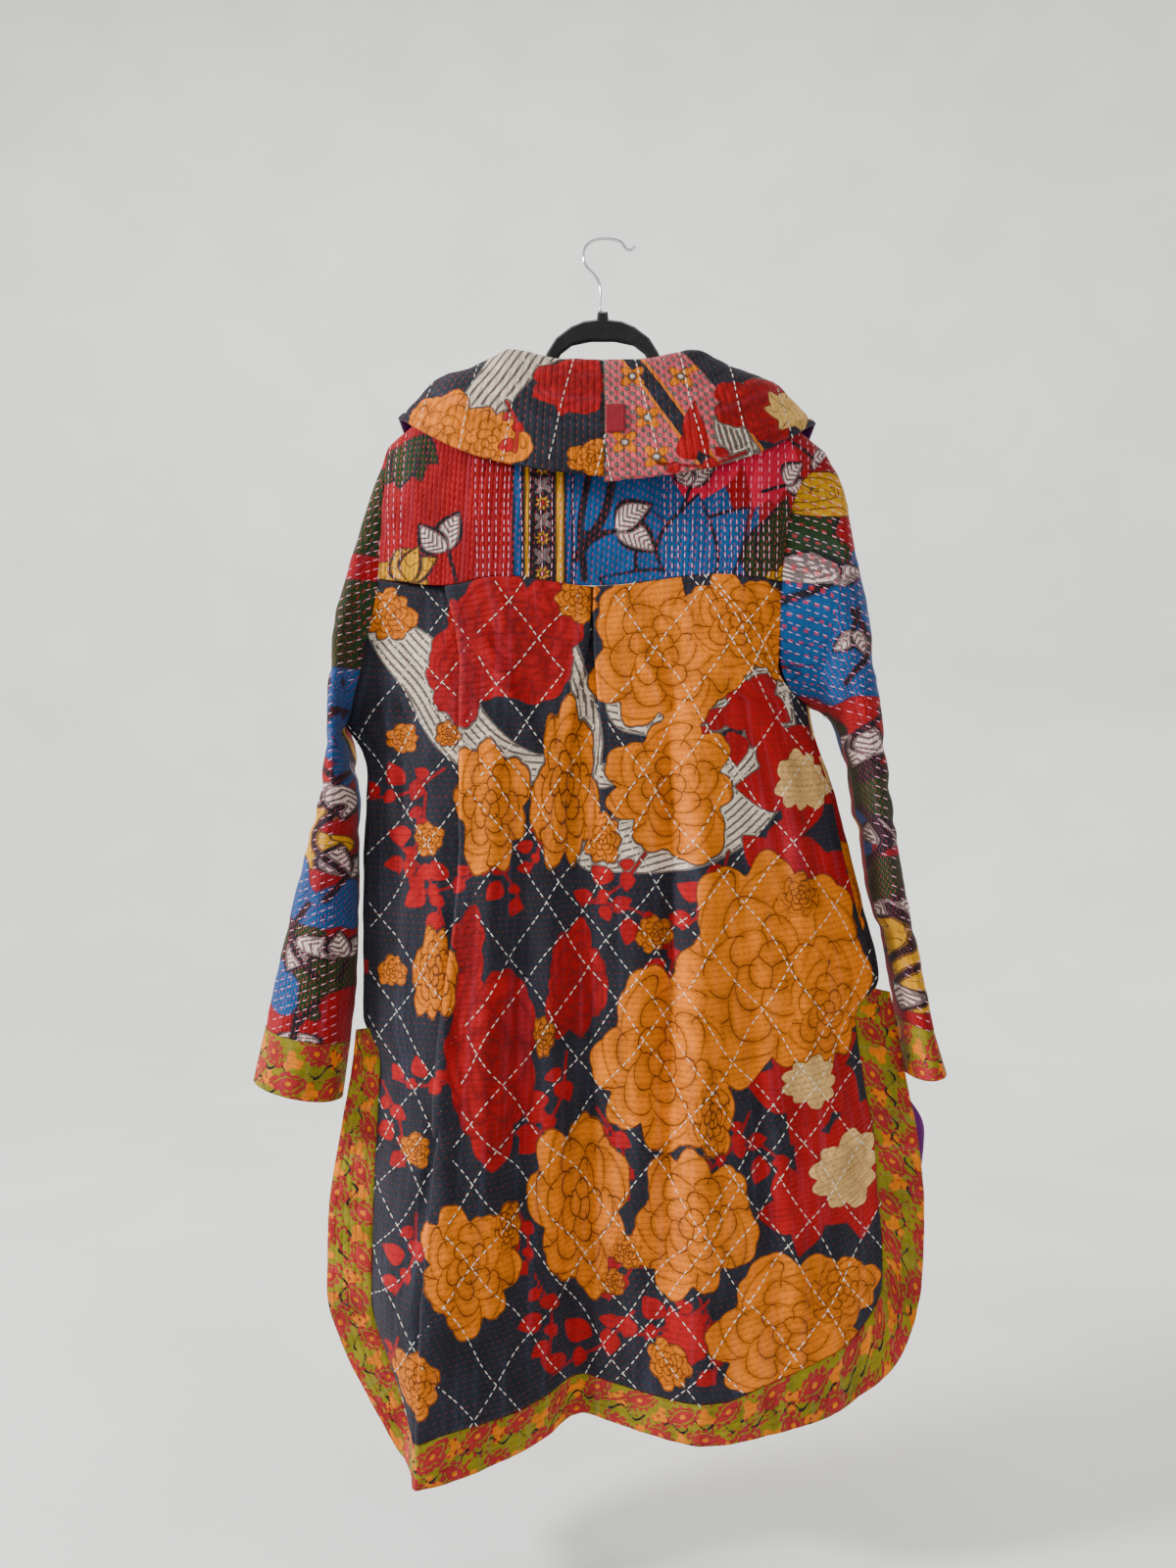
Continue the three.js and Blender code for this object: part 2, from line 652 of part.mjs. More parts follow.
// The back border's two lines: down the right slit, along the hem, and up the left slit
function backBorderLines(back) {
  const slit = LEFT_ROWS.length - BACK_BORDER_EDGE.left.length;
  const columns = backColumns();
  const last = columns.length - 1;
  const inner = [];
  const outer = [];
  BACK_BORDER_EDGE.right.forEach((edge, k) => {
    inner.push({ row: slit + k, column: 0 });
    outer.push(point(edge.x, edge.y, edge.down));
  });
  columns.slice(1, last).forEach((column, k) => {
    inner.push({ row: LEFT_ROWS.length - 1, column: k + 1 });
    outer.push(backPoint(column, along(HEM, 'x', nominalPlace(column).x, 'outer')));
  });
  BACK_BORDER_EDGE.left.toReversed().forEach((edge, k) => {
    inner.push({ row: LEFT_ROWS.length - 1 - k, column: last });
    outer.push(point(edge.x, edge.y, edge.down));
  });
  const line = inner.map((at) => back[at.row][at.column].clone());
  line[0].lerp(line[1], SLIT_START);
  line.at(-1).lerp(line.at(-2), SLIT_START);
  return { places: inner, inner: line, outer };
}

function yokeGrid() {
  const rows = [];
  const seamDown = ARMHOLE.left[YOKE_ROWS - 1].down;
  const base = stations(seamDown).profile;
  for (let i = 0; i < YOKE_ROWS; i += 1) {
    const right = ARMHOLE.right[i];
    const left = ARMHOLE.left[i];
    const lift = i === YOKE_ROWS - 1 ? BAND_GAP : 0;
    const share = (left.down - ARMHOLE.left[0].down) / (seamDown - ARMHOLE.left[0].down);
    const row = [point(right.x, right.y, right.down - lift)];
    for (let j = 1; j < YOKE_COLUMNS; j += 1) {
      const x = mix(right.x, left.x, j / YOKE_COLUMNS);
      const top = backTop(x);
      const down = mix(-top.z, along(YOKE_SEAM, 'x', x, 'down') - BAND_GAP, share);
      const fall = Math.min(1, (down + top.z) / SHOULDER_ROUNDING);
      row.push(point(x, mix(top.y, along(base, 'x', x, 'y'), Math.sqrt(1 - (1 - fall) ** 2)), down));
    }
    row.push(point(left.x, left.y, left.down - lift));
    rows.push(row);
  }
  return rows;
}

// How far the front stands off the hanger's plane, and which way it faces, below the shoulder
function frontFlat(x, down) {
  const top = shoulderDown(Math.max(Math.abs(x), NECK_HALF_WIDTH));
  const fall = THREE.MathUtils.clamp((down - top) / SHOULDER_ROUNDING, 0, 1);
  const round = Math.sqrt(1 - (1 - fall) ** 2);
  return {
    y: -SEAM_GAP / 2 - FRONT_DEPTH * round,
    facing: new THREE.Vector3(0, -round / FRONT_DEPTH, (1 - fall) / SHOULDER_ROUNDING).normalize(),
  };
}

// Outer edge of one front: armhole, side seam and slit
function frontEdge(side) {
  const armhole = ARMHOLE[side].map((row) => (
    { down: row.down, x: row.frontX, y: row.frontY, bulge: 0 }
  ));
  return armhole.concat(SIDE[side].slice(0, SLIT_ROW + 1), FRONT_SLIT[side]);
}

function frontGrid(side) {
  const sign = side === 'left' ? 1 : -1;
  const edge = frontEdge(side);
  const shoulder = edge[0];
  const columns = FRONT_COLUMNS.flat + FRONT_COLUMNS.turn;
  const neckDown = shoulderDown(NECK_HALF_WIDTH);
  return edge.map((outer, i) => {
    const below = outer.down - shoulder.down;
    const slope = Math.max(0, 1 - below / SHOULDER_SLOPE.fall) ** SHOULDER_SLOPE.power;
    const nearEdge = Math.max(0, 1 - below / SHOULDER_SLOPE.edgeFall) ** 2;
    const onShoulder = nearEdge * (i === 0 ? 1 : SHOULDER_SLOPE.edgeShare);
    const hemShare = Math.max(0, i - ARMHOLE[side].length - SLIT_ROW) / FRONT_SLIT[side].length;
    const slopedDown = outer.down - (shoulder.down - neckDown) * slope;
    const innerDown = mix(slopedDown, FRONT_HEM.inner, hemShare ** 2);
    const innerX = along(FRONT_NECK, 'down', innerDown, 'x');
    const onSlit = outer.bulge === undefined;
    const radius = onSlit ? SLIT_TURN.radius : FRONT_TURN;
    const turn = onSlit ? SLIT_TURN.angle : Math.PI - Math.asin(1 - outer.bulge / FRONT_TURN);
    const turnX = Math.abs(outer.x) - radius * Math.sin(turn);
    const row = [];
    for (let k = 0; k <= columns; k += 1) {
      const angle = turn * Math.max(0, k - FRONT_COLUMNS.flat) / FRONT_COLUMNS.turn;
      const flatShare = Math.min(1, k / FRONT_COLUMNS.flat);
      const x = mix(innerX, turnX, flatShare) + radius * Math.sin(angle);
      const share = (x - innerX) / (Math.abs(outer.x) - innerX);
      const straight = mix(innerDown, outer.down, Math.min(1, share));
      const shoulderHere = shoulderDown(Math.max(x, NECK_HALF_WIDTH));
      const down = k === columns ? outer.down : mix(straight, shoulderHere, onShoulder);
      const turned = (1 - Math.cos(angle)) / (1 - Math.cos(turn));
      row.push(point(sign * x, mix(frontFlat(x, down).y, outer.y, turned), down));
    }
    return row;
  });
}

// One front's border: down the slit, then along the hem to the front edge
function frontBorderLines(side, front) {
  const sign = side === 'left' ? 1 : -1;
  const slit = ARMHOLE[side].length + SLIT_ROW;
  const last = front[0].length - 1;
  const end = front.length - 1;
  const places = [];
  const outer = [];
  FRONT_SLIT[side].forEach((row, k) => {
    places.push({ row: slit + 1 + k, column: last });
    outer.push(point(row.outX, row.outY, row.outDown));
  });
  const corner = outer.at(-1);
  for (let k = last - 1; k >= 0; k -= 1) {
    const share = k / last;
    const inner = front[end][k];
    places.push({ row: end, column: k });
    outer.push(point(
      mix(sign * FRONT_NECK.at(-1).x, corner.x - sign * BORDER_CORNER, share),
      inner.y,
      mix(FRONT_HEM.outer, -corner.z, share ** 3),
    ));
  }
  return { places, inner: places.map((at) => front[at.row][at.column]), outer };
}

// Armhole seam as a closed ring: down the back from the shoulder, then up the front
function armholeRing(side) {
  const rows = ARMHOLE[side];
  const backHalf = rows.map((row) => ({ ...row, edge: 'back' }));
  const frontHalf = rows.slice(1, -1).reverse().map((row) => (
    { down: row.down, x: row.frontX, y: row.frontY, edge: 'front' }
  ));
  return backHalf.concat(frontHalf);
}

// A ring of a sleeve or cuff, its points at the angles of the armhole's points
function tubeRing(ring, angles) {
  const middle = point((ring.outX + ring.inX) / 2, ring.y, (ring.outDown + ring.inDown) / 2);
  const reach = point((ring.outX - ring.inX) / 2, 0, (ring.outDown - ring.inDown) / 2);
  return angles.map((angle) => {
    const at = middle.clone().addScaledVector(reach, Math.cos(angle));
    at.y += ring.depth * Math.sin(angle);
    return at;
  });
}

// Angle of each armhole point round the sleeve, from the shoulder down the back
function sleeveAngles(side) {
  const rows = ARMHOLE[side];
  const middle = (rows[0].down + rows.at(-1).down) / 2;
  const half = (rows.at(-1).down - rows[0].down) / 2;
  const down = rows.map((row) => Math.acos(THREE.MathUtils.clamp((middle - row.down) / half, -1, 1)));
  return down.concat(down.slice(1, -1).reverse().map((angle) => 2 * Math.PI - angle));
}

function sleeveGrid(side) {
  const angles = sleeveAngles(side);
  const seam = armholeRing(side).map((at, k) => point(at.x, k === 0 ? 0 : at.y, at.down));
  return [seam, ...SLEEVE[side].map((ring) => tubeRing(ring, angles))];
}

// Move a closed ring off the seam that it lies on, square to the seam and to the cloth
function partRing(ring, facing, sign, gap) {
  const moves = ring.map((at, k) => {
    const before = ring[(k + ring.length - 1) % ring.length];
    const after = ring[(k + 1) % ring.length];
    const axis = heading(before, at, after).cross(facing[k]).normalize();
    return axis.multiplyScalar(gap * Math.sign(axis.x * sign));
  });
  ring.forEach((at, k) => at.add(moves[k]));
}

function cuffGrid(side) {
  const angles = sleeveAngles(side);
  const start = SLEEVE[side].at(-1);
  const end = CUFF[side];
  const half = {};
  for (const key of Object.keys(end)) half[key] = mix(start[key], end[key], 0.5);
  const rings = [start, half, end].map((ring) => tubeRing(ring, angles));
  rings[0].forEach((at, k) => at.add(rings[1][k].clone().sub(at).setLength(BAND_GAP)));
  return rings;
}

// Where the collar starts, just clear of the neckline
function collarSeam(section, side) {
  const sign = side.sign;
  const fromCorner = Math.abs(section - NECK_CORNER.section);
  const nearShoulder = Math.max(0, 1 - fromCorner / NECK_CORNER.reach);
  const clear = CLOTH / 2 + COLLAR_CLOTH * 0.2 + SEAM_GAP + NECK_CORNER.rise * nearShoulder;
  if (section <= BACK_SECTIONS) {
    const at = backTop(along(COLLAR.slice(0, BACK_SECTIONS + 1), 'at', section, 'neckX'));
    return point(sign * at.x, at.y, -at.z - clear);
  }
  const end = COLLAR.slice(BACK_SECTIONS + 1);
  const pastBack = section - BACK_SECTIONS;
  const down = pastBack < 1 ? mix(shoulderDown(NECK_HALF_WIDTH), end[0].neckDown, pastBack)
    : along(end, 'at', section, 'neckDown');
  const x = along(FRONT_NECK, 'down', down, 'x');
  const flat = frontFlat(x, down);
  return point(sign * x, flat.y, down).addScaledVector(flat.facing, clear);
}

// A point of the collar: the section round the neck, and the share from the neckline to the edge
function collarPoint(sideName, section, share) {
  const side = COLLAR_SIDE[sideName];
  const value = (column) => along(COLLAR, 'at', section, column);
  const roll = point(side.sign * value('rollX'), value('rollY'), value('rollDown'));
  const edgeX = side.sign * side.spread * value('edgeX');
  const edge = point(edgeX, value('edgeY'), value('edgeDown') + side.droop);
  const outward = edge.clone().sub(roll).setZ(0).normalize();
  const over = roll.clone().addScaledVector(outward, COLLAR_ROLL.reach);
  over.z -= COLLAR_ROLL.rise;
  const fall = over.clone().lerp(edge, 0.5);
  fall.addScaledVector(outward, value('belly') * COLLAR_ROLL.swellOut);
  fall.z += value('belly') * COLLAR_ROLL.swellUp;
  const seam = collarSeam(section, side);
  const profile = new THREE.CatmullRomCurve3([seam, roll, over, fall, edge], false, 'centripetal');
  return profile.getPoint(share);
}

function collarGrid(sideName) {
  const end = COLLAR.length - 1;
  const grid = [];
  for (let i = 0; i <= COLLAR_ROWS; i += 1) {
    const row = [];
    for (let j = 0; j < COLLAR_COLUMNS; j += 1) {
      row.push(collarPoint(sideName, (i / COLLAR_ROWS) * end, j / (COLLAR_COLUMNS - 1)));
    }
    grid.push(row);
  }
  grid[0].forEach((at) => at.setX(COLLAR_SIDE[sideName].sign * SEAM_GAP / 2));
  return grid;
}

// The small loop on the collar: a patch of the collar's own points, moved out
function tabGrid() {
  const lift = COLLAR_CLOTH / 2 + SEAM_GAP + TAB_CLOTH / 2;
  const grid = [];
  for (const down of [0, 0.5, 1]) {
    grid.push([0, 0.25, 0.5, 0.75, 1].map((share) => (
      collarPoint('right', mix(TAB.from, TAB.to, share), mix(TAB.top, TAB.bottom, down))
    )));
  }
  const facing = gridNormals(grid, false);
  const sign = Math.sign(facing[1][2].y);
  return grid.map((row, i) => row.map((at, j) => at.addScaledVector(facing[i][j], sign * lift)));
}

function hangerBody() {
  const shape = [];
  HANGER_NECK.forEach((row) => shape.push([row.x, -row.down]));
  for (let k = 0; k <= HANGER_ARM.steps; k += 1) {
    const x = mix(HANGER_ARM.start, HANGER_ARM.end, k / HANGER_ARM.steps);
    shape.push([x, -along(SHOULDER, 'out', x, 'down')]);
  }
  const tipDown = along(SHOULDER, 'out', HANGER_ARM.end, 'down');
  shape.push([HANGER_ARM.end + HANGER_ARM.tip, -tipDown - HANGER_ARM.height * 0.4]);
  for (let k = HANGER_ARM.steps; k > 0; k -= 1) {
    const x = mix(HANGER_ARM.start, HANGER_ARM.end, k / HANGER_ARM.steps);
    shape.push([x - HANGER_ARM.tip, -along(SHOULDER, 'out', x, 'down') - HANGER_ARM.height]);
  }
  HANGER_ARCH.forEach((row) => shape.push([row.x, -row.down]));
  const otherSide = shape.toReversed().map(([x, z]) => [-x, z]);
  const outline = shape.concat(otherSide).map(([x, z]) => new THREE.Vector2(x, z));
  const { bevel } = HANGER_ARM;
  const geometry = new THREE.ExtrudeGeometry(new THREE.Shape(outline), {
    depth: HANGER_THICKNESS - 2 * bevel,
    bevelSize: bevel,
    bevelThickness: bevel,
    bevelOffset: -bevel,
    bevelSegments: 1,
  });
  geometry.rotateX(Math.PI / 2);
  geometry.translate(0, HANGER_THICKNESS / 2 - bevel, 0);
  return geometry;
}

function hangerHook() {
  const route = new THREE.CatmullRomCurve3(HOOK_ROUTE.map((row) => point(row.x, 0, row.down - SEAM_GAP)));
  const section = [];
  for (let k = 0; k < HOOK_SIDES; k += 1) {
    const angle = (2 * Math.PI * k) / HOOK_SIDES;
    section.push(new THREE.Vector2(Math.cos(angle), Math.sin(angle)).multiplyScalar(HOOK_WIRE / 2));
  }
  return new THREE.ExtrudeGeometry(new THREE.Shape(section), { steps: HOOK_STEPS, extrudePath: route });
}

// Give two pieces that meet at a seam the same direction there, so that their edges are parallel
function shareSeam(first, second) {
  const shared = first.clone().add(second).normalize();
  first.copy(shared);
  second.copy(shared);
}

function facingOut(grid, closed, sign) {
  return gridNormals(grid, closed).map((row) => row.map((at) => at.multiplyScalar(sign)));
}

// Directions in a row lie flat in the plane across one axis
function levelRow(row, axis) {
  row.forEach((at) => at.setComponent(axis, 0).normalize());
}

const group = new THREE.Group();

function addPiece(name, geometry, finish) {
  const mesh = new THREE.Mesh(geometry, new THREE.MeshStandardMaterial(FINISH[finish]));
  mesh.name = name;
  group.add(mesh);
}

const back = backGrid();
const backFacing = facingOut(back, false, 1);
const yoke = yokeGrid();
const yokeFacing = facingOut(yoke, false, 1);
levelRow(yokeFacing.at(-1), 2);
levelRow(backFacing[0], 2);
levelRow(yokeFacing[0], 1);

for (const side of ['left', 'right']) {
  const column = side === 'left' ? back[0].length - 1 : 0;
  const yokeColumn = side === 'left' ? YOKE_COLUMNS : 0;
  const front = frontGrid(side);
  const frontFacing = facingOut(front, false, side === 'left' ? -1 : 1);
  const sleeve = sleeveGrid(side);
  const sleeveFacing = facingOut(sleeve, true, side === 'left' ? -1 : 1);
  const frontLast = front[0].length - 1;
  const armholeEnd = ARMHOLE[side].length - 1;
  levelRow(frontFacing[0], 1);
  armholeRing(side).forEach((at, k) => {
    if (at.edge === 'front') {
      shareSeam(sleeveFacing[0][k], frontFacing[2 * armholeEnd - k][frontLast]);
    } else if (k < YOKE_ROWS - 1) {
      shareSeam(sleeveFacing[0][k], yokeFacing[k][yokeColumn]);
    } else {
      shareSeam(sleeveFacing[0][k], backFacing[k - YOKE_ROWS + 1][column]);
    }
  });
  yokeFacing.at(-1)[yokeColumn].copy(backFacing[0][column]);
  frontFacing[0][frontLast].copy(sleeveFacing[0][0]);
  yokeFacing[0][yokeColumn].copy(sleeveFacing[0][0]);
  for (let i = armholeEnd; i <= armholeEnd + SLIT_ROW + 1; i += 1) {
    shareSeam(frontFacing[i][frontLast], backFacing[i - YOKE_ROWS + 1][column]);
    if (i === armholeEnd) sleeveFacing[0][i].copy(frontFacing[i][frontLast]);
    const seam = front[i][frontLast];
    seam.add(front[i][frontLast - 1].clone().sub(seam).setLength(BAND_GAP));
  }
  partRing(sleeve[0], sleeveFacing[0], side === 'left' ? 1 : -1, ARMHOLE_GAP);
  const lines = frontBorderLines(side, front);
  const border = borderGrid(lines.inner, lines.outer);
  const borderFacing = facingOut(border, false, side === 'left' ? 1 : -1);
  lines.places.forEach((at, k) => shareSeam(borderFacing[0][k], frontFacing[at.row][at.column]));
  const cuff = cuffGrid(side);
  const cuffFacing = facingOut(cuff, true, side === 'left' ? -1 : 1);
  cuffFacing[0].forEach((at, k) => shareSeam(at, sleeveFacing.at(-1)[k]));
  addPiece(`front_${side}`, wall(front, frontFacing, CLOTH), 'body');
  addPiece(`front_${side}_border`, wall(border, borderFacing, CLOTH), 'border');
  addPiece(`sleeve_${side}`, wall(sleeve, sleeveFacing, CLOTH, true), 'sleeve');
  addPiece(`cuff_${side}`, wall(cuff, cuffFacing, CLOTH, true), 'border');
  const collar = collarGrid(side);
  const collarFacing = gridNormals(collar, false);
  levelRow(collarFacing[0], 0);
  addPiece(`collar_${side}`, wall(collar, collarFacing, COLLAR_CLOTH), 'collar');
}

const backLines = backBorderLines(back);
const backBorder = borderGrid(backLines.inner, backLines.outer);
const backBorderFacing = facingOut(backBorder, false, 1);
backLines.places.forEach((at, k) => shareSeam(backBorderFacing[0][k], backFacing[at.row][at.column]));
addPiece('back_panel', wall(back, backFacing, CLOTH), 'body');
addPiece('back_border', wall(backBorder, backBorderFacing, CLOTH), 'border');
addPiece('back_yoke', wall(yoke, yokeFacing, CLOTH), 'print');
const tab = tabGrid();
addPiece('collar_tab', wall(tab, gridNormals(tab, false), TAB_CLOTH), 'tab');
addPiece('hanger_body', hangerBody(), 'flock');
addPiece('hanger_hook', hangerHook(), 'chrome');

export default group;
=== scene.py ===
import math

import bpy
import numpy as np
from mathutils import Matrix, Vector, kdtree


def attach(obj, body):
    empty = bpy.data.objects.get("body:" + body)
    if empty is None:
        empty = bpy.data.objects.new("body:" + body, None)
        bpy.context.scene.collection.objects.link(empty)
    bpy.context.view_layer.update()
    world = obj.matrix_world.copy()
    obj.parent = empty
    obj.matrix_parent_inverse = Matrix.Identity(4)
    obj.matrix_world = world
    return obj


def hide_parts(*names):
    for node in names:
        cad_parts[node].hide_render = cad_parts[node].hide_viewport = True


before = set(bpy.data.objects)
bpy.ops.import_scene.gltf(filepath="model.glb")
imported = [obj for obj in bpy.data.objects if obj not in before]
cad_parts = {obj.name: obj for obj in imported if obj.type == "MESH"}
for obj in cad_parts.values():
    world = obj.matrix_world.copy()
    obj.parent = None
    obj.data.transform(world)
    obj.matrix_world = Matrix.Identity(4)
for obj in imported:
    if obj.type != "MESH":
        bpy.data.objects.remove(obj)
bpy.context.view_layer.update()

# Kantha coat on a hanger, in metres, with +Z up and the coat's back to +Y. The tables are in
# millimetres, as in the part's source, and "down" is the distance below the hook.

MM = 0.001

# Driving sizes, in millimetres
CLOTH = 2.4
COLLAR_CLOTH = 3.0
TAB_CLOTH = 1.6
SEAM_GAP = 0.3
BAND_GAP = 0.6
ARMHOLE_GAP = 0.8
BORDER_GAP = 0.9
HANGER_CLEARANCE = 0.95
PLEAT_LAYER = 4.0
PLEAT_TURN = 2.0
PLEAT_UNDERLAY = 20.0
HOOK_WIRE = 3.3
FRONT_DEPTH = 38.0
NECK_HALF_WIDTH = 86.0
NECK_BACK_DEPTH = 29.0
NECK_DROP = 15.0
SHOULDER_ROUNDING = 105.0


def table(names, *rows):
    """Rows of numbers as a dict of named columns."""
    return dict(zip(names.split(), np.array(rows, float).T))


SHOULDER = table(
    "out down",
    (62, 128), (76, 136), (100, 144), (140, 159), (180, 182), (218, 213), (232, 224),
)

# Armhole seams from the shoulder to the underarm, on the back and on the front half
ARMHOLE = {
    "left": table(
        "down x y front_x front_y",
        (208, 214, 0.15, 214, -0.15), (216, 214.5, 9, 215, -8), (232, 215, 17, 216, -15),
        (255, 216, 23, 217, -21), (295, 218, 28, 219, -26), (347, 221.5, 30, 223, -28),
        (390, 229, 28, 231, -26), (430, 240, 22, 241, -20), (462, 251, 13, 251, -11),
        (486, 258, 2, 258, 2),
    ),
    "right": table(
        "down x y front_x front_y",
        (215.8, -224, 0.15, -224, -0.15), (222, -221, 10, -224, -9), (236, -210, 22, -221, -17),
        (256, -192, 33, -215, -24), (295, -180, 41, -208, -29), (352, -172.5, 46, -203, -31),
        (396, -171, 45, -201, -29), (430, -172, 41, -201, -22), (455, -184, 29, -203, -10),
        (468, -205, 8, -205, 8),
    ),
}

# Edge of the back below the underarm: side seam, then the slit, which has no bulge
SIDE = {
    "left": table(
        "down x y bulge",
        (500, 250, 3, 0), (516, 240, 5, 1), (545, 233.5, 9, 4), (620, 232.5, 13, 8),
        (700, 232.5, 14, 9), (782, 232.5, 14, 8), (824, 220.5, 15, -1), (900, 225, 10, -1),
        (980, 229, 6, -1), (1060, 231, 4, -1), (1100, 223, 4, -1), (1138, 206, 10, -1),
        (1168, 187, 22, -1),
    ),
    "right": table(
        "down x y bulge",
        (482, -206.5, 12, 0), (505, -211, 16, 2), (540, -221, 18, 6), (600, -234, 18, 10),
        (665, -249, 18, 12), (743, -269, 18, 8), (778, -250, 17, -1), (840, -258, 15, -1),
        (900, -269, 15, -1), (955, -272, 16, -1), (1005, -276, 19, -1), (1040, -275, 23, -1),
        (1058, -269, 28, -1),
    ),
}
SLIT_ROW = 5
SLIT_START = 0.2

# Outer edge of the back's border beside the slits
BACK_BORDER_EDGE = {
    "left": table(
        "down x y",
        (793, 246, 11), (832, 251, 8), (900, 264, 2), (985, 277, -4), (1060, 279, -7),
        (1116, 262, -3), (1165, 232, 9), (1208, 197, 30),
    ),
    "right": table(
        "down x y",
        (755, -286, 12), (784, -293, 9), (845, -304, 7), (905, -316, 6), (970, -322, 6),
        (1040, -319, 10), (1100, -302, 20), (1131, -276, 30),
    ),
}

# Inner and outer edges of each front's border beside the slit
FRONT_SLIT = {
    "left": table(
        "down x y out_down out_x out_y",
        (824, 224, 2, 826, 246, -3), (900, 226, -7, 898, 260, -14),
        (980, 228, -12, 982, 266, -20), (1040, 222, -17, 1062, 254, -24),
        (1076, 200, -26, 1112, 214, -31),
    ),
    "right": table(
        "down x y out_down out_x out_y",
        (785, -257, 5, 788, -286, -3), (846, -267, -8, 848, -300, -15),
        (905, -284, -17, 905, -331, -25), (985, -276, -21, 988, -321, -27),
        (1052, -258, -26, 1090, -282, -30),
    ),
}
FRONT_HEM = {"inner": 1090, "outer": 1132}

# Large folds down the back: where each runs and how far it stands off the hanger's plane
FOLDS = table(
    "down ridge_x ridge_y valley_x valley_y centre_y swell_x swell_y knife_x knife_y",
    (350, -112, 54, -55, 50, 50, 80, 51, 155, 46),
    (424, -105, 56, -60, 51, 52, 80, 53, 138, 55),
    (500, -99, 59, -64, 52, 53, 78, 55, 138, 57),
    (600, -94, 62, -64, 53, 54, 76, 57, 138, 58),
    (700, -90, 63, -64, 54, 53, 76, 58, 145, 60),
    (820, -88, 64, -62, 55, 50, 78, 58, 156, 66),
    (950, -90, 66, -55, 55, 43, 82, 58, 166, 73),
    (1100, -95, 69, -42, 50, 33, 88, 59, 174, 84),
    (1210, -98, 70, -36, 44, 28, 90, 60, 177, 90),
)

# The inverted pleat's two fold edges and how far it has opened
CENTRE_PLEAT = table(
    "down right left open",
    (350, 9, 12.5, 0), (400, 9, 14, 0), (470, 9, 24, 0.25), (560, 10, 28, 0.6),
    (680, 12, 30, 1), (1210, 16, 36, 1),
)
OPEN_PLEAT = {"half_width": 30, "step": 5, "depth": 5}

YOKE_SEAM = table(
    "x down", (-173, 352), (-112, 346), (10, 357), (97, 347), (157, 356), (222, 347),
)
HEM = table(
    "x inner outer",
    (-269, 1058, 1131), (-240, 1087, 1148), (-205, 1103, 1160), (-166, 1116, 1167),
    (-105, 1136, 1176), (-60, 1137, 1177), (20, 1128, 1168), (59, 1143, 1185),
    (96, 1152, 1194), (138, 1156, 1202), (187, 1168, 1208),
)

# Sleeve rings below the armhole, the last one at the wrist, then the cuff's end
SLEEVE = {
    "left": table(
        "out_x out_down in_x in_down depth y",
        (232, 262, 260.5, 492.5, 37, 1), (249, 322, 261, 498, 42, 0), (262, 380, 259, 507, 45, -1),
        (271, 440, 256, 521, 46, -2), (275, 500, 251, 545, 47, -3), (282, 556, 248.5, 580, 47, -3),
        (295, 606, 248, 625, 46, -3), (311, 670, 248.5, 684, 45, -3), (325, 730, 250, 744, 43, -3),
        (338, 790, 256, 806, 42, -3), (350, 843, 264, 864, 45, -3),
    ),
    "right": table(
        "out_x out_down in_x in_down depth y",
        (-238, 250, -211, 472, 49, 5), (-247, 300, -217, 474, 53, 3), (-256, 355, -224, 478, 54, 3),
        (-265, 412, -231, 485, 53, 2), (-275, 468, -239, 498, 51, 1), (-282, 530, -249, 536, 50, 0),
        (-290, 595, -261, 592, 49, 0), (-302, 655, -270, 652, 48, 0), (-314, 715, -286, 710, 47, 0),
        (-327, 790, -299, 782, 46, 0), (-340, 832, -306, 838, 49, 0),
    ),
}

# Collar sections round the neck, from the centre back to the collar's end on the front
COLLAR_BACK = table("at neck_x", (0, 0), (1, 34), (2, 62), (3, 80))
COLLAR_FRONT = table(
    "at neck_down",
    (4, 140), (5, 146), (6, 158), (7, 182), (8, 232), (9, 310), (10, 400), (11, 466),
)
COLLAR = table(
    "at roll_x roll_y roll_down edge_x edge_y edge_down belly",
    (0, 0, 33, 135, 0, 79, 258, 5), (1, 37, 32, 134, 38, 79, 254, 5),
    (2, 68, 27, 126.5, 82, 73, 246, 8), (3, 92, 17, 119, 124, 62, 233, 14),
    (4, 103, 2, 120, 158, 49, 216, 22), (5, 104, -12, 125, 188, 28, 195, 24),
    (6, 99, -30, 136, 204, 4, 182, 22), (7, 86, -43, 164, 196, -26, 210, 14),
    (8, 61, -47, 222, 158, -46, 275, 1), (9, 40, -47, 305, 112, -46, 350, 0),
    (10, 21, -47, 397, 60, -46, 428, 0), (11, 8, -47, 466, 24, -46, 482, 0),
)
BACK_SECTIONS = 3
NECK_CORNER = {"section": 3.4, "reach": 1.6, "rise": 2.8}
COLLAR_ROLL = {"reach": 9, "rise": 3, "swell_out": 0.4, "swell_up": 0.75}
COLLAR_SIDE = {
    "left": {"sign": 1, "spread": 1.0, "droop": 0},
    "right": {"sign": -1, "spread": 1.045, "droop": 5},
}
TAB = {"from": 0.06, "to": 0.52, "top": 0.71, "bottom": 0.82}

HOOK_ROUTE = [
    (2, 72), (2.5, 46), (8.5, 35.5), (16.3, 27), (19, 16), (16, 5.5), (8, 0), (-2, -1.35),
    (-12, -0.5), (-19, 3), (-23.4, 9), (-28, 10), (-32.6, 6.6),
]
FRONT_NECK = table(
    "down x",
    (130, 86), (140, 85.8), (158, 82), (182, 76), (232, 62), (310, 43), (400, 24), (470, 8),
    (1200, 8),
)

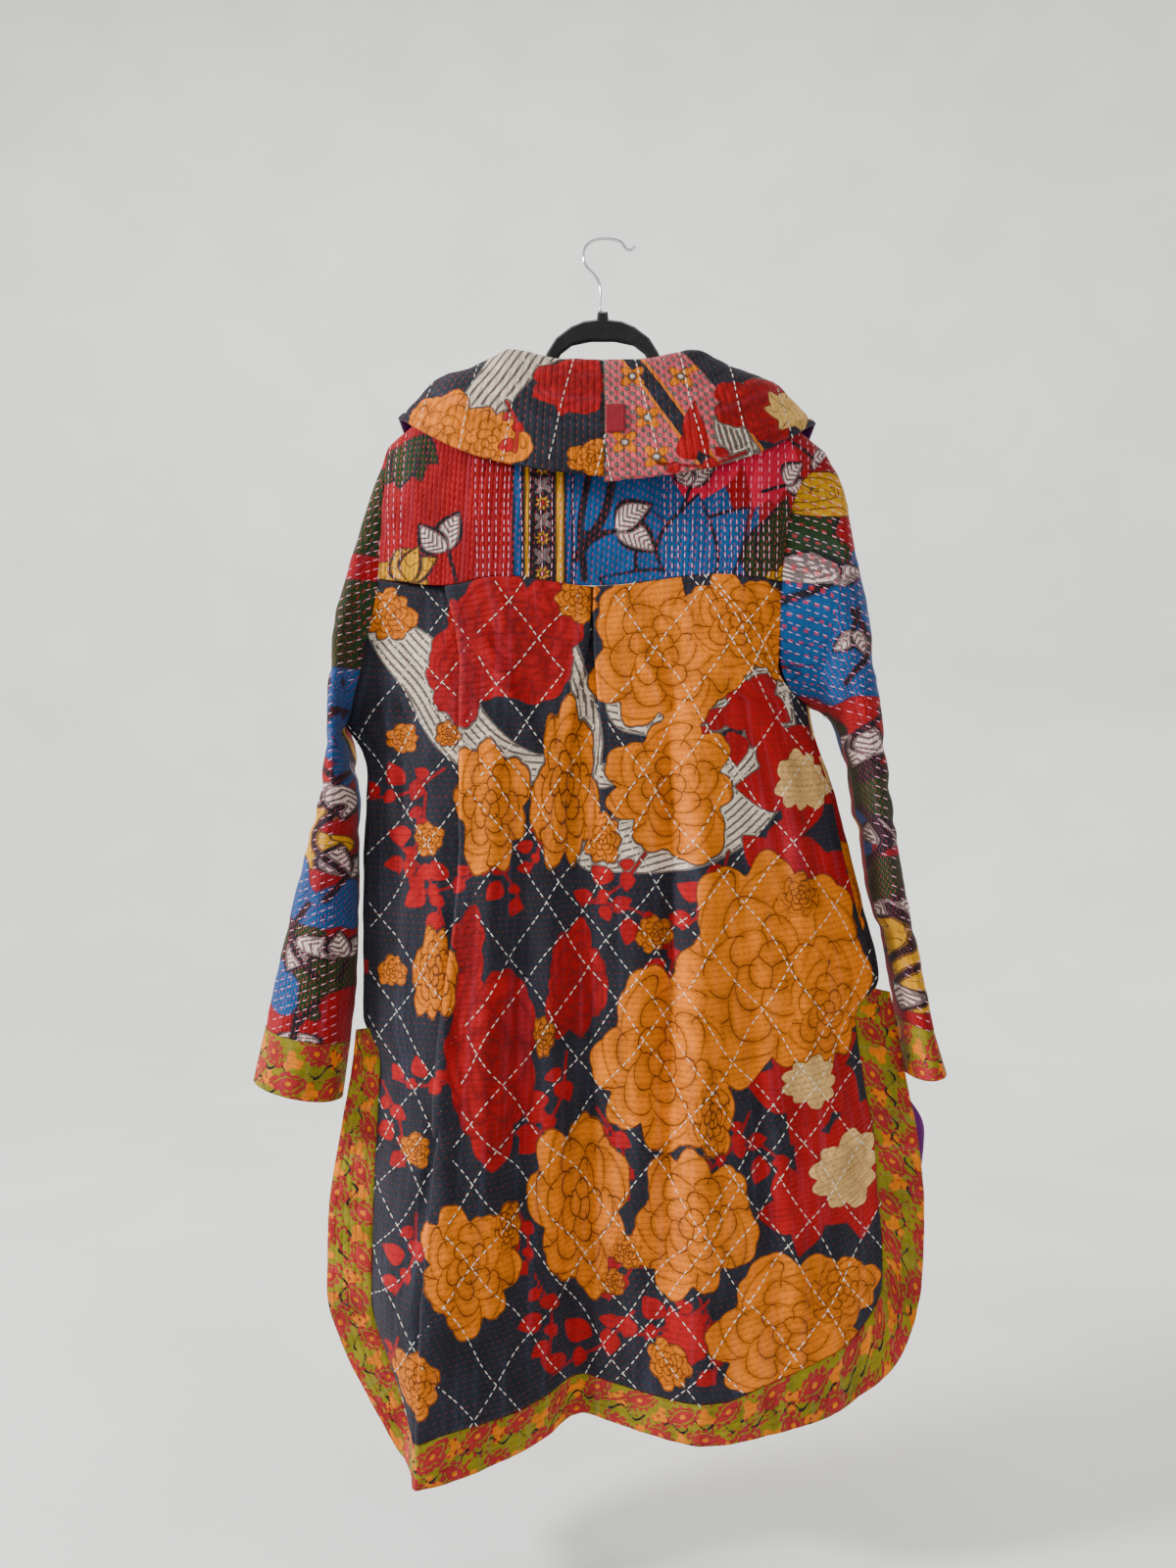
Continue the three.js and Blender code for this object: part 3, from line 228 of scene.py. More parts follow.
BACK_COLUMNS = {"right": 12, "middle": 7, "left": 6}
FRONT_COLUMNS = {"flat": 6, "turn": 4}
FRONT_TURN = 28
SLIT_TURN = {"radius": 60, "angle": 0.9}
SHOULDER_SLOPE = {"fall": 180, "power": 1.5, "edge_fall": 60, "edge_share": 0.6}
BORDER_CORNER = 6
NEAR_HEM = 1150
RIGHT_SWELL = {"x": 0.28, "y": 0.6}
LEFT_SWELL = {"x": 0.6, "y": 0.42}
YOKE_COLUMNS = 24
YOKE_ROWS = 6
COLLAR_COLUMNS = 9
COLLAR_ROWS = 22
BORDER_STEPS = 2


def mix(a, b, share):
    return a + (b - a) * share


def along(rows, key, place, column):
    """A column's value at a place between the rows of a table, on a curve that never overshoots."""
    keys, values = rows[key], rows[column]
    last = len(keys) - 1
    index = min(max(int(np.searchsorted(keys, place)) - 1, 0), last - 1)
    rise = np.diff(values) / np.diff(keys)

    def slope(at):
        if at == 0 or at == last:
            return rise[0] if at == 0 else rise[-1]
        before, after = rise[at - 1], rise[at]
        return 0.0 if before * after <= 0 else 2 * before * after / (before + after)

    span = keys[index + 1] - keys[index]
    t = min(max((place - keys[index]) / span, 0), 1)
    pull = t * (1 - t) ** 2 * span * slope(index) + t * t * (t - 1) * span * slope(index + 1)
    return mix(values[index], values[index + 1], t * t * (3 - 2 * t)) + pull


def at(x, y, down):
    return np.array((x, y, -down), float)


def unit(v):
    return v / np.maximum(np.linalg.norm(v, axis=-1, keepdims=True), 1e-9)


def shoulder_down(x):
    return along(SHOULDER, "out", abs(x), "down") - HANGER_CLEARANCE - CLOTH / 2


def back_top(x):
    """Upper edge of the back: the round back neckline, then the shoulder seam."""
    share = abs(x) / NECK_HALF_WIDTH
    if share >= 1:
        return at(x, SEAM_GAP / 2, shoulder_down(x))
    around = math.sqrt(1 - share * share)
    down = shoulder_down(NECK_HALF_WIDTH) + NECK_DROP * around
    return at(x, SEAM_GAP / 2 + NECK_BACK_DEPTH * around, down)


def side_rows(side):
    return {
        key: np.concatenate([ARMHOLE[side][key][YOKE_ROWS - 1:], SIDE[side][key]])
        for key in ("down", "x", "y")
    }


ROWS = {"left": side_rows("left"), "right": side_rows("right")}


def stations(down):
    """Places across the back at one height: seams, folds and how far each stands off."""
    left, right = [
        (along(ROWS[side], "down", down, "x"), along(ROWS[side], "down", down, "y"))
        for side in ("left", "right")
    ]
    ridge, valley, swell, knife = [
        (along(FOLDS, "down", down, name + "_x"), along(FOLDS, "down", down, name + "_y"))
        for name in ("ridge", "valley", "swell", "knife")
    ]
    pleat_right, pleat_left, opened = [
        along(CENTRE_PLEAT, "down", down, name) for name in ("right", "left", "open")
    ]
    centre = ((pleat_right + pleat_left) / 2, along(FOLDS, "down", down, "centre_y"))
    near_right = (
        mix(right[0], ridge[0], RIGHT_SWELL["x"]), mix(right[1], ridge[1], RIGHT_SWELL["y"])
    )
    near_left = (
        mix(knife[0], left[0], LEFT_SWELL["x"]), mix(knife[1], left[1], LEFT_SWELL["y"])
    )
    profile = np.array(
        [right, near_right, ridge, valley, centre, swell, knife, near_left, left], float
    )
    return {
        "left": left[0], "right": right[0], "knife": knife[0], "centre": centre[0],
        "pleat_right": pleat_right, "pleat_left": pleat_left, "open": opened,
        "profile": {"x": profile[:, 0], "y": profile[:, 1]},
    }


# Points of one fold over: how far each is set back from the fold edge, and its layer
FOLD_OVER = [
    (PLEAT_TURN, 0), (0, 0.5), (PLEAT_TURN, 1), (PLEAT_UNDERLAY - PLEAT_TURN, 1),
    (PLEAT_UNDERLAY, 1.5), (PLEAT_UNDERLAY - PLEAT_TURN, 2),
]


def back_columns():
    """Columns across the back, from the right seam to the left seam."""
    columns = [("right", k / BACK_COLUMNS["right"]) for k in range(BACK_COLUMNS["right"])]
    columns += [("pleat", -1, k) for k in range(len(FOLD_OVER))]
    columns += [("pleat", 1, k) for k in reversed(range(len(FOLD_OVER)))]
    columns += [("middle", k / BACK_COLUMNS["middle"]) for k in range(1, BACK_COLUMNS["middle"])]
    columns += [("knife", k) for k in range(len(FOLD_OVER))]
    columns += [("left", k / BACK_COLUMNS["left"]) for k in range(1, BACK_COLUMNS["left"] + 1)]
    return columns


def pleat_place(side, k, now):
    """A pleat point across the back and its depth below the outer layer."""
    inset, layer = FOLD_OVER[k]
    edge = now["pleat_right"] if side < 0 else now["pleat_left"]
    open_x = now["centre"] + side * (OPEN_PLEAT["half_width"] - OPEN_PLEAT["step"] * k)
    t = k / (len(FOLD_OVER) - 1)
    ease = t * t * (3 - 2 * t)
    return (
        mix(edge + side * inset, open_x, now["open"]),
        mix(layer * PLEAT_LAYER, ease * OPEN_PLEAT["depth"], now["open"]),
    )


def back_point(column, down):
    """One point of the back's cloth, in a column and at a height."""
    now = stations(down)
    zone, drop = column[0], 0.0
    if zone == "right":
        x = mix(now["right"], pleat_place(-1, 0, now)[0], column[1])
    elif zone == "middle":
        x = mix(pleat_place(1, 0, now)[0], now["knife"] - PLEAT_TURN, column[1])
    elif zone == "left":
        x = mix(now["knife"] - PLEAT_UNDERLAY + PLEAT_TURN, now["left"], column[1])
        drop = 2 * PLEAT_LAYER * (1 - column[1] ** 2)
    elif zone == "pleat":
        x, drop = pleat_place(column[1], column[2], now)
    else:
        inset, layer = FOLD_OVER[column[1]]
        x, drop = now["knife"] - inset, layer * PLEAT_LAYER
    return at(x, along(now["profile"], "x", x, "y") - drop, down)


def back_grid():
    """The back's points: set at both seams, bent to the yoke seam above and the hem below."""
    columns = back_columns()
    right, left = ROWS["right"], ROWS["left"]
    end = len(left["down"]) - 1
    low = stations(NEAR_HEM)
    seam_down = ARMHOLE["left"]["down"][YOKE_ROWS - 1]
    rows = [[] for _ in range(end + 1)]
    for j, column in enumerate(columns):
        x = low["knife"] if column[0] == "knife" else back_point(column, NEAR_HEM)[0]
        top_x = back_point(column, seam_down)[0]
        share = (x - low["right"]) / (low["left"] - low["right"])
        straight = mix(right["down"], left["down"], share)
        top_bend = along(YOKE_SEAM, "x", top_x, "down") - straight[0]
        hem_bend = along(HEM, "x", x, "inner") - straight[end]
        for i in range(end + 1):
            if j in (0, len(columns) - 1):
                edge = right if j == 0 else left
                rows[i].append(at(edge["x"][i], edge["y"][i], edge["down"][i]))
                continue
            progress = i / end
            down = straight[i] + top_bend * (1 - progress) ** 3 + hem_bend * progress ** 3
            rows[i].append(back_point(column, down))
    return np.array(rows)


def border_grid(inner, outer):
    """A strip of border between two lines, parted from the panel by the seam gap."""
    gap = BORDER_GAP / np.linalg.norm(outer - inner, axis=1, keepdims=True)
    return np.array([
        mix(inner, outer, mix(gap, 1, step / BORDER_STEPS)) for step in range(BORDER_STEPS + 1)
    ])


def back_border_grid(back):
    """The back's band: down the right slit, along the hem, and up the left slit."""
    columns = back_columns()
    low = stations(NEAR_HEM)
    slit = len(back) - len(BACK_BORDER_EDGE["left"]["down"])
    edges = {
        side: [at(x, y, d) for d, x, y in zip(*[rows[k] for k in ("down", "x", "y")])]
        for side, rows in BACK_BORDER_EDGE.items()
    }
    hem = []
    for column in columns[1:-1]:
        x = low["knife"] if column[0] == "knife" else back_point(column, NEAR_HEM)[0]
        hem.append(back_point(column, along(HEM, "x", x, "outer")))
    outer = np.array(edges["right"] + hem + edges["left"][::-1])
    inner = np.concatenate([back[slit:, 0], back[-1, 1:-1], back[slit:, -1][::-1]])
    inner[0] = mix(inner[0], inner[1], SLIT_START)
    inner[-1] = mix(inner[-1], inner[-2], SLIT_START)
    return border_grid(inner, outer)


def yoke_grid():
    rows = []
    left, right = ARMHOLE["left"], ARMHOLE["right"]
    seam_down = left["down"][YOKE_ROWS - 1]
    base = stations(seam_down)["profile"]
    for i in range(YOKE_ROWS):
        lift = BAND_GAP if i == YOKE_ROWS - 1 else 0
        share = (left["down"][i] - left["down"][0]) / (seam_down - left["down"][0])
        row = [at(right["x"][i], right["y"][i], right["down"][i] - lift)]
        for j in range(1, YOKE_COLUMNS):
            x = mix(right["x"][i], left["x"][i], j / YOKE_COLUMNS)
            top = back_top(x)
            down = mix(-top[2], along(YOKE_SEAM, "x", x, "down") - BAND_GAP, share)
            fall = min(1, (down + top[2]) / SHOULDER_ROUNDING)
            y = mix(top[1], along(base, "x", x, "y"), math.sqrt(1 - (1 - fall) ** 2))
            row.append(at(x, y, down))
        row.append(at(left["x"][i], left["y"][i], left["down"][i] - lift))
        rows.append(row)
    return np.array(rows)


def front_flat(x, down):
    """How far the front stands off the hanger's plane, and which way it faces."""
    top = shoulder_down(max(abs(x), NECK_HALF_WIDTH))
    fall = min(max((down - top) / SHOULDER_ROUNDING, 0), 1)
    around = math.sqrt(1 - (1 - fall) ** 2)
    facing = np.array((0, -around / FRONT_DEPTH, (1 - fall) / SHOULDER_ROUNDING))
    return -SEAM_GAP / 2 - FRONT_DEPTH * around, unit(facing)


def front_grid(side):
    sign = 1 if side == "left" else -1
    hole, seam, slit = ARMHOLE[side], SIDE[side], FRONT_SLIT[side]
    edge = [(d, x, y, 0) for d, x, y in zip(hole["down"], hole["front_x"], hole["front_y"])]
    edge += list(zip(*[seam[k][:SLIT_ROW + 1] for k in ("down", "x", "y", "bulge")]))
    edge += [(d, x, y, -1) for d, x, y in zip(slit["down"], slit["x"], slit["y"])]
    flat_columns = FRONT_COLUMNS["flat"]
    columns = flat_columns + FRONT_COLUMNS["turn"]
    neck_down = shoulder_down(NECK_HALF_WIDTH)
    rows = []
    for i, (outer_down, outer_x, outer_y, bulge) in enumerate(edge):
        below = outer_down - edge[0][0]
        slope = max(0, 1 - below / SHOULDER_SLOPE["fall"]) ** SHOULDER_SLOPE["power"]
        near_edge = max(0, 1 - below / SHOULDER_SLOPE["edge_fall"]) ** 2
        on_shoulder = near_edge * (1 if i == 0 else SHOULDER_SLOPE["edge_share"])
        hem_share = max(0, i - len(hole["down"]) - SLIT_ROW) / len(slit["down"])
        sloped = outer_down - (edge[0][0] - neck_down) * slope
        inner_down = mix(sloped, FRONT_HEM["inner"], hem_share ** 2)
        inner_x = along(FRONT_NECK, "down", inner_down, "x")
        on_slit = bulge < 0
        radius = SLIT_TURN["radius"] if on_slit else FRONT_TURN
        turn = SLIT_TURN["angle"] if on_slit else math.pi - math.asin(1 - bulge / FRONT_TURN)
        turn_x = abs(outer_x) - radius * math.sin(turn)
        row = []
        for k in range(columns + 1):
            angle = turn * max(0, k - flat_columns) / FRONT_COLUMNS["turn"]
            x = mix(inner_x, turn_x, min(1, k / flat_columns)) + radius * math.sin(angle)
            share = (x - inner_x) / (abs(outer_x) - inner_x)
            straight = mix(inner_down, outer_down, min(1, share))
            here = shoulder_down(max(x, NECK_HALF_WIDTH))
            down = outer_down if k == columns else mix(straight, here, on_shoulder)
            turned = (1 - math.cos(angle)) / (1 - math.cos(turn))
            row.append(at(sign * x, mix(front_flat(x, down)[0], outer_y, turned), down))
        rows.append(row)
    rows = np.array(rows)
    first = len(hole["down"]) - 1
    for i in range(first, first + SLIT_ROW + 2):
        rows[i, -1] += unit(rows[i, -2] - rows[i, -1]) * BAND_GAP
    return rows


def front_border_grid(side, front):
    """One front's band: down the slit, then along the hem to the front edge."""
    sign = 1 if side == "left" else -1
    rows = FRONT_SLIT[side]
    slit = len(ARMHOLE[side]["down"]) + SLIT_ROW + 1
    last = front.shape[1] - 1
    outer = [at(x, y, d) for d, x, y in zip(rows["out_down"], rows["out_x"], rows["out_y"])]
    corner = outer[-1]
    for k in reversed(range(last)):
        share = k / last
        outer.append(at(
            mix(sign * FRONT_NECK["x"][-1], corner[0] - sign * BORDER_CORNER, share),
            front[-1, k, 1],
            mix(FRONT_HEM["outer"], -corner[2], share ** 3),
        ))
    inner = np.concatenate([front[slit:, last], front[-1, :last][::-1]])
    return border_grid(inner, np.array(outer))


def tube_angles(side):
    """Angle of each armhole point round the sleeve, from the shoulder down the back."""
    down = ARMHOLE[side]["down"]
    middle, half = (down[0] + down[-1]) / 2, (down[-1] - down[0]) / 2
    angles = np.arccos(np.clip((middle - down) / half, -1, 1))
    return np.concatenate([angles, 2 * math.pi - angles[1:-1][::-1]])


def tube_ring(ring, angles):
    middle = at((ring["out_x"] + ring["in_x"]) / 2, ring["y"], (ring["out_down"] + ring["in_down"]) / 2)
    reach = at((ring["out_x"] - ring["in_x"]) / 2, 0, (ring["out_down"] - ring["in_down"]) / 2)
    points = middle + np.cos(angles)[:, None] * reach
    points[:, 1] += ring["depth"] * np.sin(angles)
    return points


def sleeve_and_cuff(side):
    rows, hole = SLEEVE[side], ARMHOLE[side]
    angles = tube_angles(side)
    rings = [
        tube_ring({key: column[k] for key, column in rows.items()}, angles)
        for k in range(len(rows["y"]))
    ]
    back_half = np.stack([hole["x"], hole["y"], -hole["down"]], axis=1)
    back_half[0, 1] = 0
    front_half = np.stack([hole["front_x"], hole["front_y"], -hole["down"]], axis=1)[1:-1][::-1]
    seam = np.concatenate([back_half, front_half])
    seam += unit(rings[0] - seam) * ARMHOLE_GAP
    start = rings[-2] + unit(rings[-1] - rings[-2]) * BAND_GAP
    half = tube_ring({key: mix(column[-2], column[-1], 0.5) for key, column in rows.items()}, angles)
    return np.array([seam] + rings[:-1]), np.array([start, half, rings[-1]])


def collar_seam(section, sign):
    """Where the collar starts, just clear of the neckline."""
    from_corner = abs(section - NECK_CORNER["section"])
    near_shoulder = max(0, 1 - from_corner / NECK_CORNER["reach"])
    clear = CLOTH / 2 + COLLAR_CLOTH * 0.2 + SEAM_GAP + NECK_CORNER["rise"] * near_shoulder
    if section <= BACK_SECTIONS:
        top = back_top(along(COLLAR_BACK, "at", section, "neck_x"))
        return at(sign * top[0], top[1], -top[2] - clear)
    past = section - BACK_SECTIONS
    down = along(COLLAR_FRONT, "at", section, "neck_down")
    if past < 1:
        down = mix(shoulder_down(NECK_HALF_WIDTH), COLLAR_FRONT["neck_down"][0], past)
    x = along(FRONT_NECK, "down", down, "x")
    y, facing = front_flat(x, down)
    return at(sign * x, y, down) + clear * facing


def centripetal(knots, share):
    """A point on the centripetal Catmull-Rom curve through a few points."""
    place = share * (len(knots) - 1)
    index = min(int(place), len(knots) - 2)
    t = place - index
    p1, p2 = knots[index], knots[index + 1]
    p0 = knots[index - 1] if index > 0 else 2 * p1 - p2
    p3 = knots[index + 2] if index + 2 < len(knots) else 2 * p2 - p1
    d0, d1, d2 = [np.dot(b - a, b - a) ** 0.25 for a, b in ((p0, p1), (p1, p2), (p2, p3))]
    d0, d2 = d0 if d0 > 1e-4 else d1, d2 if d2 > 1e-4 else d1
    m1 = ((p1 - p0) / d0 - (p2 - p0) / (d0 + d1) + (p2 - p1) / d1) * d1
    m2 = ((p2 - p1) / d1 - (p3 - p1) / (d1 + d2) + (p3 - p2) / d2) * d1
    cubic = 2 * p1 - 2 * p2 + m1 + m2
    square = -3 * p1 + 3 * p2 - 2 * m1 - m2
    return p1 + m1 * t + square * t * t + cubic * t ** 3


def collar_point(side_name, section, share):
    """A point of the collar: the section round the neck, the share from neckline to edge."""
    side = COLLAR_SIDE[side_name]
    value = {name: along(COLLAR, "at", section, name) for name in COLLAR if name != "at"}
    roll = at(side["sign"] * value["roll_x"], value["roll_y"], value["roll_down"])
    edge_x = side["sign"] * side["spread"] * value["edge_x"]
    edge = at(edge_x, value["edge_y"], value["edge_down"] + side["droop"])
    outward = edge - roll
    outward[2] = 0
    outward = unit(outward)
    over = roll + outward * COLLAR_ROLL["reach"]
    over[2] -= COLLAR_ROLL["rise"]
    fall = (over + edge) / 2 + outward * value["belly"] * COLLAR_ROLL["swell_out"]
    fall[2] += value["belly"] * COLLAR_ROLL["swell_up"]
    seam = collar_seam(section, side["sign"])
    return centripetal([seam, roll, over, fall, edge], share)


def collar_grid(side):
    end = COLLAR["at"][-1]
    grid = np.array([
        [
            collar_point(side, i / COLLAR_ROWS * end, j / (COLLAR_COLUMNS - 1))
            for j in range(COLLAR_COLUMNS)
        ]
        for i in range(COLLAR_ROWS + 1)
    ])
    grid[0, :, 0] = COLLAR_SIDE[side]["sign"] * SEAM_GAP / 2
    return grid


def tab_grid():
    return np.array([
        [
            collar_point(
                "right", mix(TAB["from"], TAB["to"], share), mix(TAB["top"], TAB["bottom"], down)
            )
            for share in (0, 0.25, 0.5, 0.75, 1)
        ]
        for down in (0, 0.5, 1)
    ])


# Fine surfaces. CELL is how far apart the fine points are on each piece, in millimetres, and
# the percentile picks the step that counts where the steps along a row differ.

CELL = {
    "back": 2.55, "yoke": 1.9, "back_band": 2.2, "front": 2.8, "front_band": 2.4, "sleeve": 2.6,
    "cuff": 2.2, "collar": 2.2, "tab": 1.2,
}
STEP_PERCENTILE = 75


class Surface:
    """A fine grid of points on the cloth's middle, with its outward directions."""

    def __init__(self, coarse, cell, faces, closed=False):
        self.closed = closed
        self.points = refine(refine(coarse, cell, 1, closed), cell, 0, False)
        self.facing = directions(self.points, closed)
        if faces == "back" or faces == "front":
            outward = np.array((0, 1 if faces == "back" else -1, 0))
        elif faces == "tube":
            outward = self.points - self.points.mean(axis=1, keepdims=True)
        else:
            outward = self.points - self.points[:, :1]
        self.facing *= np.sign((self.facing * outward).sum())

    def push(self, depth):
        """Move the points out by a depth in millimetres at each."""
        self.points = self.points + self.facing * depth[..., None]
        sign = np.sign((directions(self.points, self.closed) * self.facing).sum())
        self.facing = directions(self.points, self.closed) * sign

    def lengths(self, axis):
        """Distance along the cloth from the first row or column, in millimetres."""
        steps = np.linalg.norm(np.diff(self.points, axis=axis), axis=2)
        steps = steps.mean(axis=1 - axis)
        return np.concatenate([[0], np.cumsum(steps)])


def refine(grid, cell, axis, closed):
    """Points between the rows or columns of a grid, about one cell apart, on smooth curves."""
    grid = np.moveaxis(grid, axis, 0)
    count = len(grid)
    if closed:
        grid = np.concatenate([grid[-2:], grid, grid[:3]])
    rise = np.diff(grid, axis=0)
    before, after = rise[:-1], rise[1:]
    both = before * after
    total = np.where(np.abs(before + after) < 1e-9, 1, before + after)
    slope = np.where(both > 0, 2 * both / total, 0)
    slope = np.concatenate([rise[:1], slope, rise[-1:]])
    first, last = (2, count + 2) if closed else (0, count - 1)
    found = []
    for k in range(first, last):
        longest = np.percentile(np.linalg.norm(rise[k], axis=-1), STEP_PERCENTILE)
        steps = max(1, int(round(longest / cell)))
        for step in range(steps):
            t = step / steps
            value = mix(grid[k], grid[k + 1], t * t * (3 - 2 * t))
            value = value + t * (1 - t) ** 2 * slope[k] + t * t * (t - 1) * slope[k + 1]
            found.append(value)
    if not closed:
        found.append(grid[-1])
    return np.moveaxis(np.array(found), 0, axis)


def directions(points, closed):
    """Unit direction across the surface at each point of a grid."""
    if closed:
        around = np.concatenate([points[:, -1:], points, points[:, :1]], axis=1)
        across = around[:, 2:] - around[:, :-2]
    else:
        across = np.gradient(points, axis=1)
    return unit(np.cross(across, np.gradient(points, axis=0)))


def thinned(count, keep, closed):
    """Indices that keep every few rows, and always the last."""
    found = list(range(0, count, keep))
    if not closed and found[-1] != count - 1:
        found.append(count - 1)
    return found


def link(name, data):
    """A new object in the scene that holds a mesh, a light or a camera."""
    thing = bpy.data.objects.new(name, data)
    bpy.context.scene.collection.objects.link(thing)
    return thing


def cloth_mesh(name, surface, thickness, materials, attributes, keep=3):
    """A closed wall of cloth: a fine outer side, a coarser inner side, and a rim between."""
    points, facing, closed = surface.points, surface.facing, surface.closed
    rows, columns = points.shape[:2]
    row_places = thinned(rows, keep, False)
    column_places = thinned(columns, keep, closed)
    outer = (points + facing * thickness / 2).reshape(-1, 3)
    chosen = np.ix_(row_places, column_places)
    inner = (points[chosen] - facing[chosen] * thickness / 2).reshape(-1, 3)
    index = np.arange(rows * columns).reshape(rows, columns)
    inside = len(outer) + np.arange(len(inner)).reshape(len(row_places), len(column_places))
    if closed:
        index = np.concatenate([index, index[:, :1]], axis=1)
        inside = np.concatenate([inside, inside[:, :1]], axis=1)
        column_places = column_places + [columns]
    quads = np.stack([index[:-1, :-1], index[:-1, 1:], index[1:, 1:], index[1:, :-1]], axis=-1)
    inner_quads = np.stack(
        [inside[:-1, :-1], inside[1:, :-1], inside[1:, 1:], inside[:-1, 1:]], axis=-1
    )
    faces = quads.reshape(-1, 4).tolist()
    outer_count = len(faces)
    faces += inner_quads.reshape(-1, 4).tolist()
    inner_count = len(faces)

    def rim(line, inner_line, places, turn):
        for k in range(len(places) - 1):
            outside = [int(line[p]) for p in range(places[k], places[k + 1] + 1)]
            face = [int(inner_line[k]), int(inner_line[k + 1])] + outside[::-1]
            faces.append(face[::-1] if turn else face)

    rim(index[0], inside[0], column_places, False)
    rim(index[-1], inside[-1], column_places, True)
    if not closed:
        rim(index[:, 0], inside[:, 0], row_places, True)
        rim(index[:, -1], inside[:, -1], row_places, False)
    outward_sign = np.sign(np.einsum(
        "ij,ij->i",
        np.cross(
            outer[quads[..., 1].ravel()] - outer[quads[..., 0].ravel()],
            outer[quads[..., 3].ravel()] - outer[quads[..., 0].ravel()],
        ),
        facing.reshape(-1, 3)[quads[..., 0].ravel()],
    ).sum())
    if outward_sign < 0:
        faces = [face[::-1] for face in faces]
    mesh = bpy.data.meshes.new(name)
    mesh.from_pydata((np.concatenate([outer, inner]) * MM).tolist(), [], faces)
    for material in materials:
        mesh.materials.append(material)
    slots = np.zeros(len(faces), np.int32)
    slots[outer_count:inner_count] = 1
    mesh.polygons.foreach_set("material_index", slots)
    mesh.polygons.foreach_set("use_smooth", np.arange(len(faces)) < inner_count)
    for key, values in attributes.items():
        padded = np.zeros((len(outer) + len(inner), 3), np.float32)
        padded[:len(outer)] = values.reshape(-1, 3)
        padded[len(outer):] = values[chosen].reshape(-1, 3)
        layer = mesh.attributes.new(key, "FLOAT_VECTOR", "POINT")
        layer.data.foreach_set("vector", padded.ravel())
    mesh.validate()
    mesh.update()
    return link(name, mesh)


def add_mesh(name, vertices, faces, material):
    mesh = bpy.data.meshes.new(name)
    mesh.from_pydata((np.array(vertices) * MM).tolist(), [], faces)
    mesh.polygons.foreach_set("use_smooth", [True] * len(mesh.polygons))
    mesh.materials.append(material)
    mesh.update()
    return link(name, mesh)


# Creases: soft ridges and troughs along a line. Each row holds the millimetres
# across and down of both ends, then the width and the depth, which is below zero in a trough.

CREASE_SWELL = 0.6
BACK_CREASES = [
    (-66, 400, -62, 1130, 10, -8.5), (-92, 420, -96, 1130, 14, 7.0), (80, 600, 84, 1130, 12, -8.5),
    (102, 440, 118, 1000, 13, 6.5), (196, 470, 208, 800, 9, -5.5), (-150, 380, -232, 700, 11, -5.0),
    (-176, 470, -205, 900, 10, 4.5), (-128, 640, -170, 1110, 11, -6.5), (50, 640, 50, 1130, 11, 5.0),
    (-30, 600, -34, 1120, 11, 5.0), (210, 520, 190, 640, 7, 4.0), (-190, 440, -236, 560, 7, -4.5),
    (150, 860, 205, 1080, 10, -5.0), (-20, 380, -80, 520, 7, 2.5), (130, 380, 60, 520, 8, 3.0),
    (14, 720, 20, 1120, 9, -5.0), (160, 560, 150, 1060, 9, 4.5), (-156, 800, -196, 1100, 9, 4.0),
    (200, 400, 160, 470, 6, -2.5), (214, 440, 172, 520, 6, -3.0), (-196, 400, -150, 470, 6, -2.5),
]
# These two are for the left side, and the right side's are mirrored
FRONT_CREASES = [
    (120, 260, 150, 900, 14, 4.0), (60, 480, 70, 1060, 12, -3.5), (175, 420, 205, 1000, 12, -3.5),
    (95, 300, 60, 700, 10, 2.5),
]
SLEEVE_CREASES = [
    (232, 470, 285, 520, 7, -3.0), (238, 520, 290, 560, 7, -3.0), (244, 600, 296, 580, 8, -2.5),
    (246, 560, 285, 600, 7, 2.5), (262, 300, 250, 520, 10, 3.0), (284, 600, 312, 780, 10, -3.0),
    (262, 640, 282, 790, 9, 2.5), (240, 400, 270, 440, 8, -2.5), (254, 700, 318, 690, 8, -2.0),
]


def crease(surface, x0, down0, x1, down1, width, depth):
    """Depth at each point of a crease that swells between two ends."""
    p = surface.points
    a, b = np.array((x0, -down0), float), np.array((x1, -down1), float)
    run = b - a
    flat = p[..., (0, 2)] - a
    share = np.clip(flat @ run / (run @ run), 0, 1)
    away = np.linalg.norm(flat - share[..., None] * run, axis=-1)
    swell = np.sin(np.pi * share) ** CREASE_SWELL
    return depth * np.exp(-((away / width) ** 2)) * swell


def press_creases(surface, creases, sign=1):
    for x0, down0, x1, down1, width, depth in creases:
        surface.push(crease(surface, sign * x0, down0, sign * x1, down1, width, depth))


def ripple(surface, length_across, length_down, depth):
    """Slight unevenness all over, from a few waves that don't line up."""
    p = surface.points
    u, v = p[..., 0] / length_across, p[..., 2] / length_down
    waves = np.sin(u * 6.28 + 1.7 * np.sin(v * 3.1)) * np.sin(v * 6.28 + 1.3 * np.sin(u * 2.3))
    waves += 0.5 * np.sin(u * 13.7 + v * 5.1 + 0.8) * np.sin(v * 11.3 - u * 3.7)
    return depth * waves


# Printed pattern. Each tone keeps a signed distance in millimetres, above zero inside its
# patches, and the cloth's shader shows the tone with the greatest. One more value is zero
# along the drawn lines. A new patch clears the lines under it, and a spill's width past it.

TONES = 8
FAR = 8.0
SPILL = 1.5


